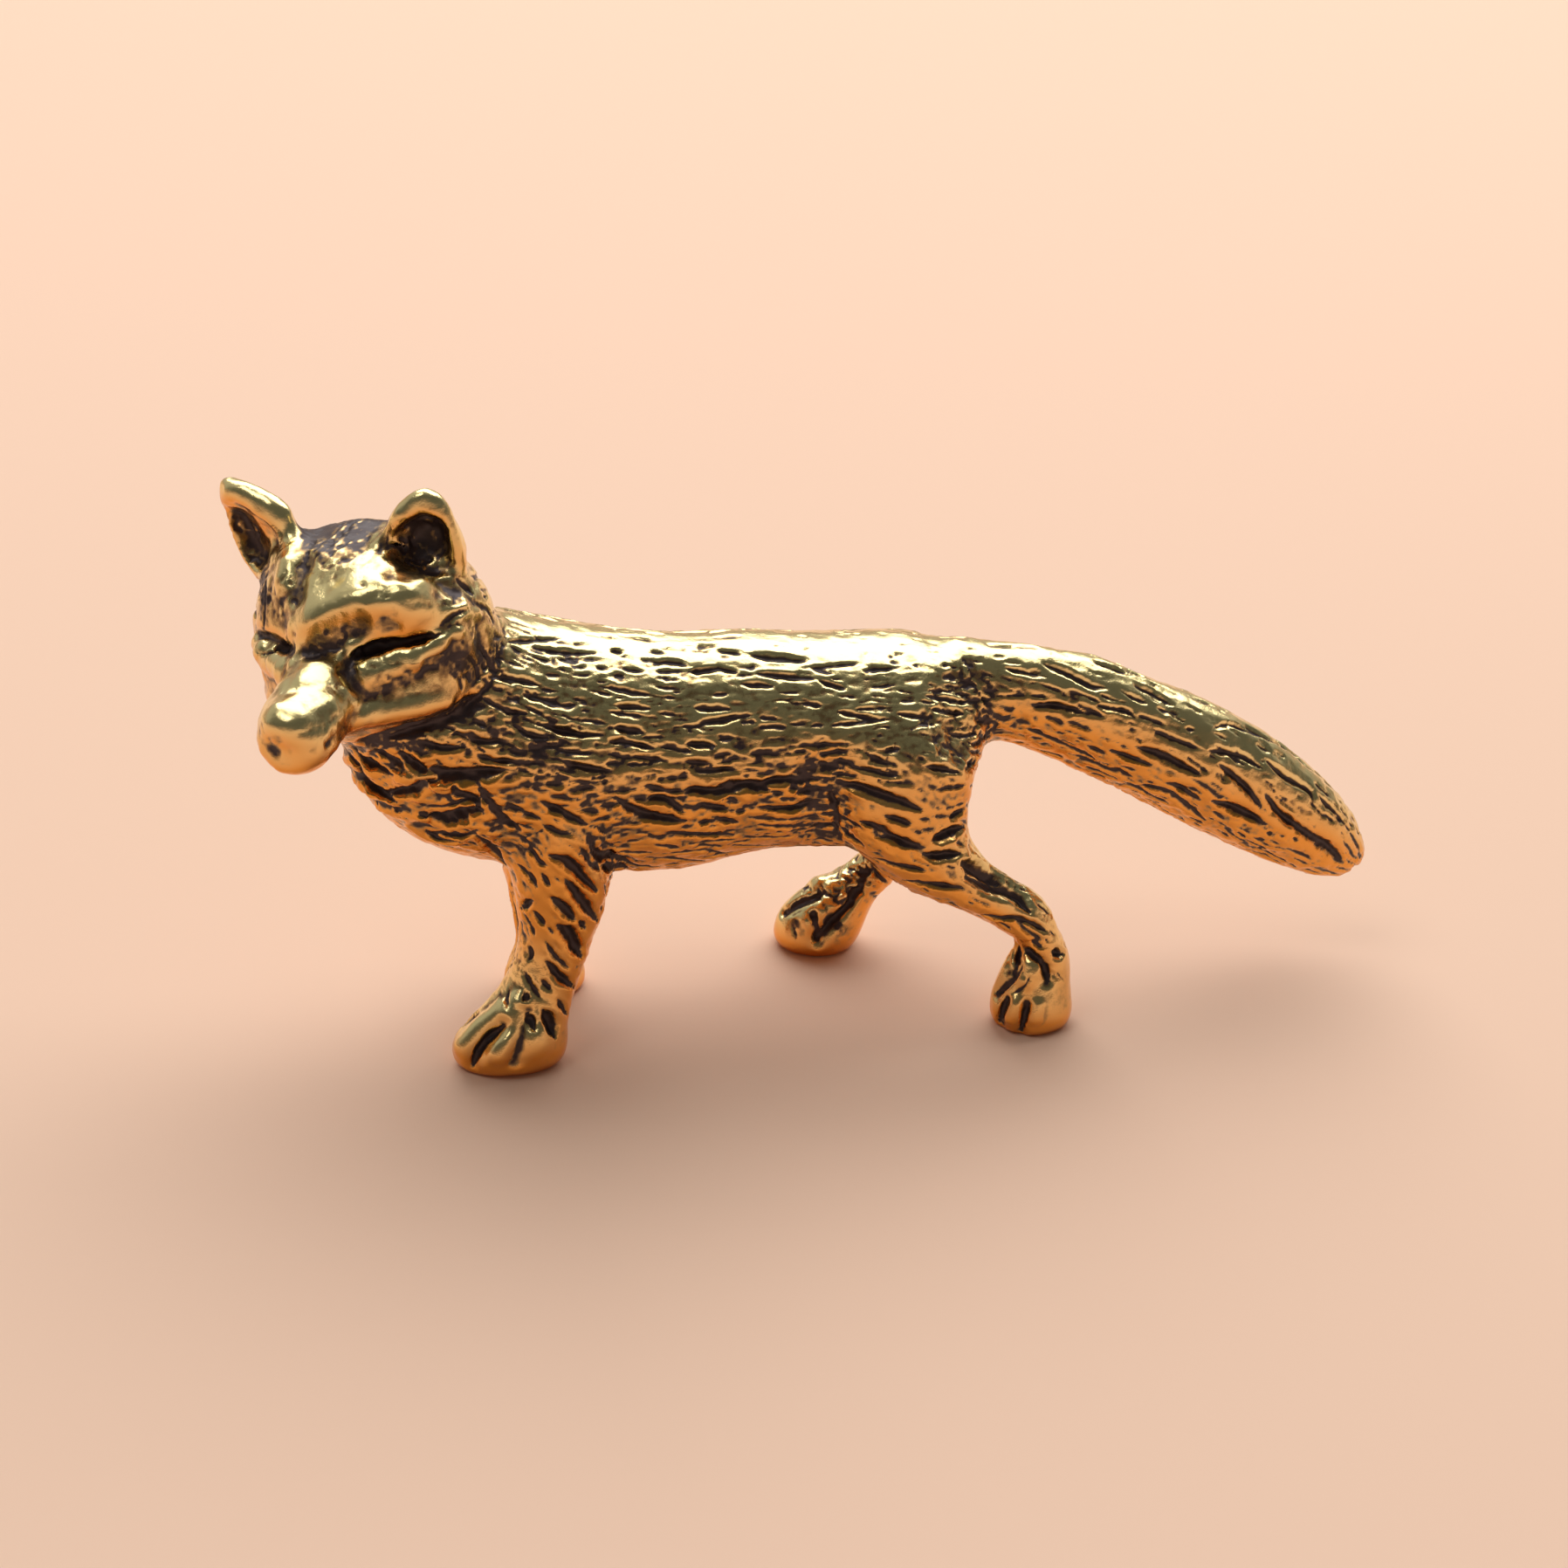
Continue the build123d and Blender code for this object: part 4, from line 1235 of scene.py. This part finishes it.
def make_metal():
    """Antiqued brass: polished, filmed and dark by the patina of each point, and turned orange by a painted
    reflection of warm light from below, by the share kept at each point.
    """
    fox = settings()
    metal = bpy.data.materials.new(METAL_NAME)
    metal.use_nodes = True
    tree = metal.node_tree
    tree.nodes.clear()
    tone = add_node(tree, "ShaderNodeAttribute", attribute_name="patina").outputs["Fac"]
    # The share of painted reflection from below, kept at each point.
    reflected_orange = add_node(tree, "ShaderNodeAttribute", attribute_name="painted_reflection").outputs["Fac"]
    fine = spots(tree, FINE_SPOTS)
    speckle = combine(tree, "SUBTRACT", fine, NOISE_MEAN)
    drift = combine(tree, "SUBTRACT", spots(tree, BROAD_SPOTS), NOISE_MEAN)
    speckled = combine(tree, "MULTIPLY_ADD", speckle, FINE_MOVE, tone)
    depth = combine(tree, "MULTIPLY_ADD", drift, BROAD_MOVE, speckled)
    dark = band(tree, depth, *DARK_RANGE)
    film = band(tree, depth, *FILM_RANGE)
    # Painted reflection: the bare brass is mixed towards the orange of the warm floor below, more where a surface
    # faces down.
    rubbed = blend_colour(tree, reflected_orange, (*fox.polished, 1), (*fox.reflected_orange, 1))
    worn = blend_colour(tree, film, rubbed, (*fox.film, 1))
    tooth = {
        "Height": combine(tree, "ADD", spots(tree, TOOTH_SIZE), fine),
        "Strength": TOOTH_STRENGTH,
        "Distance": TOOTH_HEIGHT * MM,
    }
    finish = {
        "Base Color": blend_colour(tree, dark, worn, (*fox.patina, 1)),
        "Metallic": band(tree, dark, 0.0, 1.0, 1.0, PATINA_METAL),
        "Roughness": band(tree, depth, *DULL_RANGE, fox.polish_roughness, PATINA_ROUGHNESS),
        "Normal": add_node(tree, "ShaderNodeBump", tooth).outputs[0],
    }
    shader = add_node(tree, "ShaderNodeBsdfPrincipled", finish)
    add_node(tree, "ShaderNodeOutputMaterial", {"Surface": shader.outputs[0]})


# ------------------------------------------------------------------ the stage

# The floor: half its side in metres, and how its paper shines.
FLOOR_HALF = 1.0
FLOOR_FINISH = {"Roughness": 0.8, "Specular IOR Level": 0.2}


def make_floor():
    """A level sheet of pale paper under the paws."""
    half = FLOOR_HALF
    mesh = bpy.data.meshes.new("floor")
    mesh.from_pydata([(-half, -half, 0), (half, -half, 0), (half, half, 0), (-half, half, 0)], [], [(0, 1, 2, 3)])
    floor = bpy.data.objects.new("floor", mesh)
    bpy.context.scene.collection.objects.link(floor)
    paper = bpy.data.materials.new("pale_paper")
    paper.use_nodes = True
    tree = paper.node_tree
    tree.nodes.clear()
    shader = add_node(tree, "ShaderNodeBsdfPrincipled", {"Base Color": (*settings().floor, 1), **FLOOR_FINISH})
    add_node(tree, "ShaderNodeOutputMaterial", {"Surface": shader.outputs[0]})
    mesh.materials.append(paper)


# The softboxes in metres: place, and the two sides of the box. Each has a colour, and all aim at one place.
OVERHEAD_BOX = ((0.10, 0.28, 0.40), (0.75, 0.50))
OVERHEAD_COLOUR = (1.0, 0.98, 0.95)
SIDE_BOX = ((-0.26, -0.07, 0.48), (0.24, 0.24))
SIDE_COLOUR = (1.0, 0.97, 0.92)
LAMP_AIM = (0, 0, 0.012)


def make_lamp(name, place, size, colour, power):
    """A softbox that is turned to the fox."""
    lamp = bpy.data.lights.new(name, "AREA")
    lamp.shape = "RECTANGLE"
    lamp.size, lamp.size_y = size
    lamp.energy = power
    lamp.color = colour
    holder = bpy.data.objects.new(name, lamp)
    holder.location = place
    aim = Vector(LAMP_AIM) - Vector(place)
    holder.rotation_euler = aim.to_track_quat("-Z", "Y").to_euler()
    bpy.context.scene.collection.objects.link(holder)


# The room that the brass reflects: grey in front, lighter overhead there, white at the back, and the floor's
# colour below. The ranges say where one runs into the next, on the direction's own -1 to 1.
FRONT_COLOUR = (0.20, 0.205, 0.19, 1)
OVERHEAD_GREY = (0.5, 0.5, 0.46, 1)
BACK_COLOUR = (0.85, 0.84, 0.80, 1)
OVERHEAD_RANGE = (0.86, 0.99)
BACK_RANGE = (-0.15, 0.55)
HORIZON_RANGE = (0.02, 0.28)


def make_room():
    """The light all round, which the brass reflects."""
    fox = settings()
    world = bpy.data.worlds.new("studio")
    world.use_nodes = True
    tree = world.node_tree
    backdrop = tree.nodes["Background"]
    backdrop.inputs["Strength"].default_value = fox.room_light
    direction = add_node(tree, "ShaderNodeTexCoord").outputs["Generated"]
    _, back, up = add_node(tree, "ShaderNodeSeparateXYZ", {0: direction}).outputs
    front = blend_colour(tree, band(tree, up, *OVERHEAD_RANGE), FRONT_COLOUR, OVERHEAD_GREY)
    roof = blend_colour(tree, band(tree, back, *BACK_RANGE), front, BACK_COLOUR)
    room = blend_colour(tree, band(tree, up, *HORIZON_RANGE), (*fox.floor, 1), roof)
    tree.links.new(room, backdrop.inputs["Color"])
    bpy.context.scene.world = world


# What the camera sees, from the nearest to the farthest, in metres.
CLIP_RANGE = (0.005, 10)


def make_camera():
    """The camera whose pixels the tables give."""
    scene = bpy.context.scene
    camera = bpy.data.objects.new("camera", bpy.data.cameras.new("camera"))
    camera.data.sensor_width = SENSOR_WIDTH
    camera.data.lens = VIEW_FOCAL / PICTURE * SENSOR_WIDTH
    camera.data.shift_x = (PICTURE / 2 - VIEW_CENTRE[0]) / PICTURE
    camera.data.shift_y = (VIEW_CENTRE[1] - PICTURE / 2) / PICTURE
    camera.data.clip_start, camera.data.clip_end = CLIP_RANGE
    turn = Matrix(view_axes()).transposed().to_4x4()
    camera.matrix_world = Matrix.Translation(view_place() * MM) @ turn
    scene.collection.objects.link(camera)
    scene.camera = camera
    scene.view_settings.view_transform = "Standard"


def make_stage():
    """The floor, the lamps, the room and the camera."""
    fox = settings()
    make_floor()
    make_lamp("overhead_softbox", *OVERHEAD_BOX, OVERHEAD_COLOUR, fox.key_power)
    make_lamp("left_softbox", *SIDE_BOX, SIDE_COLOUR, fox.fill_power)
    make_room()
    make_camera()


# ------------------------------------------------------------------ the add-on


class BrassFoxSettings(bpy.types.PropertyGroup):
    """Sizes, colours and lamps of the brass fox."""

    form_voxel: FloatProperty(
        name="Form mesh", description="Mesh size while the large forms are modelled",
        default=0.00018, unit="LENGTH", precision=5,
    )
    voxel: FloatProperty(
        name="Fine mesh", description="Mesh size of the finished surface", default=0.0001, unit="LENGTH", precision=5
    )
    join_reach: FloatProperty(
        name="Join reach", description="How far a join between two sections is softened",
        default=0.0011, unit="LENGTH", precision=4,
    )
    seed: IntProperty(name="Fur seed", description="Picks another lie of the loose fur", default=7, min=0)
    polished: FloatVectorProperty(
        name="Polished brass", description="Colour of the rubbed high places", subtype="COLOR",
        default=(0.90, 0.74, 0.36), min=0, max=1,
    )
    # Painted reflection: this orange stands in for the warm floor reflected in surfaces that face down. It is not a
    # colour of the brass.
    reflected_orange: FloatVectorProperty(
        name="Warm brass", description="Colour of the rubbed low places", subtype="COLOR",
        default=(0.82, 0.37, 0.075), min=0, max=1,
    )
    film: FloatVectorProperty(
        name="Brown film", description="Colour of the thin film beside the grooves", subtype="COLOR",
        default=(0.42, 0.27, 0.12), min=0, max=1,
    )
    patina: FloatVectorProperty(
        name="Patina", description="Colour of the patina in the grooves", subtype="COLOR",
        default=(0.050, 0.032, 0.034), min=0, max=1,
    )
    polish_roughness: FloatProperty(
        name="Polish", description="Roughness of the rubbed brass", default=0.21, min=0, max=1, subtype="FACTOR"
    )
    floor: FloatVectorProperty(
        name="Floor", description="Colour of the floor", subtype="COLOR", default=(0.86, 0.60, 0.46), min=0, max=1
    )
    key_power: FloatProperty(
        name="Overhead lamp", description="Power of the overhead softbox", default=3.1, min=0, unit="POWER"
    )
    fill_power: FloatProperty(
        name="Side lamp", description="Power of the softbox at the fox's head", default=0.45, min=0, unit="POWER"
    )
    room_light: FloatProperty(name="Room light", description="Strength of the light all round", default=0.5, min=0)


class FoxOperator:
    """What the fox's operators have in common."""

    bl_options = {"REGISTER", "UNDO"}
    sections = ()

    def execute(self, context):
        for name in self.sections:
            make_section(name)
        return {"FINISHED"}


class FOX_OT_metal(FoxOperator, bpy.types.Operator):
    """Mix the antiqued brass finish"""

    bl_idname = "fox.metal"
    bl_label = "Mix the brass finish"

    def execute(self, context):
        make_metal()
        return {"FINISHED"}


class FOX_OT_skin(FoxOperator, bpy.types.Operator):
    """Model the whole surface of the casting, with its face, paws and fur"""

    bl_idname = "fox.skin"
    bl_label = "Model the casting's surface"

    def execute(self, context):
        make_skin()
        return {"FINISHED"}


class FOX_OT_torso(FoxOperator, bpy.types.Operator):
    """Cut the torso from the casting's surface"""

    bl_idname = "fox.torso"
    bl_label = "Torso"
    sections = ("torso",)


class FOX_OT_head(FoxOperator, bpy.types.Operator):
    """Cut the head from the casting's surface"""

    bl_idname = "fox.head"
    bl_label = "Head"
    sections = ("head",)


class FOX_OT_ears(FoxOperator, bpy.types.Operator):
    """Cut both ears from the casting's surface"""

    bl_idname = "fox.ears"
    bl_label = "Ears"
    sections = ("left_ear", "right_ear")


class FOX_OT_tail(FoxOperator, bpy.types.Operator):
    """Cut the tail from the casting's surface"""

    bl_idname = "fox.tail"
    bl_label = "Tail"
    sections = ("tail",)


class FOX_OT_front_legs(FoxOperator, bpy.types.Operator):
    """Cut the front legs from the casting's surface"""

    bl_idname = "fox.front_legs"
    bl_label = "Front legs"
    sections = ("front_left_leg", "front_right_leg")


class FOX_OT_hind_legs(FoxOperator, bpy.types.Operator):
    """Cut the hind legs from the casting's surface"""

    bl_idname = "fox.hind_legs"
    bl_label = "Hind legs"
    sections = ("hind_left_leg", "hind_right_leg")


class FOX_OT_stage(FoxOperator, bpy.types.Operator):
    """Set up the floor, the lamps and the camera"""

    bl_idname = "fox.stage"
    bl_label = "Floor, lamps and camera"

    def execute(self, context):
        make_stage()
        return {"FINISHED"}


OPERATORS = (
    FOX_OT_metal, FOX_OT_skin, FOX_OT_torso, FOX_OT_head, FOX_OT_ears,
    FOX_OT_tail, FOX_OT_front_legs, FOX_OT_hind_legs, FOX_OT_stage,
)


class FOX_PT_panel(bpy.types.Panel):
    """Lists the fox's sizes, colours and steps"""

    bl_label = "Brass fox"
    bl_idname = "FOX_PT_panel"
    bl_space_type = "VIEW_3D"
    bl_region_type = "UI"
    bl_category = "Brass fox"

    def draw(self, context):
        for name in BrassFoxSettings.__annotations__:
            self.layout.prop(context.scene.brass_fox, name)
        for operator in OPERATORS:
            self.layout.operator(operator.bl_idname)


CLASSES = (BrassFoxSettings, *OPERATORS, FOX_PT_panel)


def register():
    """Adds the fox's settings, steps and panel to Blender."""
    for one in CLASSES:
        bpy.utils.register_class(one)
    bpy.types.Scene.brass_fox = PointerProperty(type=BrassFoxSettings)


def unregister():
    """Takes them away again."""
    del bpy.types.Scene.brass_fox
    for one in reversed(CLASSES):
        bpy.utils.unregister_class(one)


def main():
    """Makes the fox step by step."""
    register()
    bpy.ops.fox.metal()
    bpy.ops.fox.skin()
    bpy.ops.fox.torso()
    bpy.ops.fox.head()
    bpy.ops.fox.ears()
    bpy.ops.fox.tail()
    bpy.ops.fox.front_legs()
    bpy.ops.fox.hind_legs()
    bpy.data.meshes.remove(bpy.data.meshes[SKIN_NAME])
    bpy.ops.fox.stage()


if __name__ == "__main__":
    main()
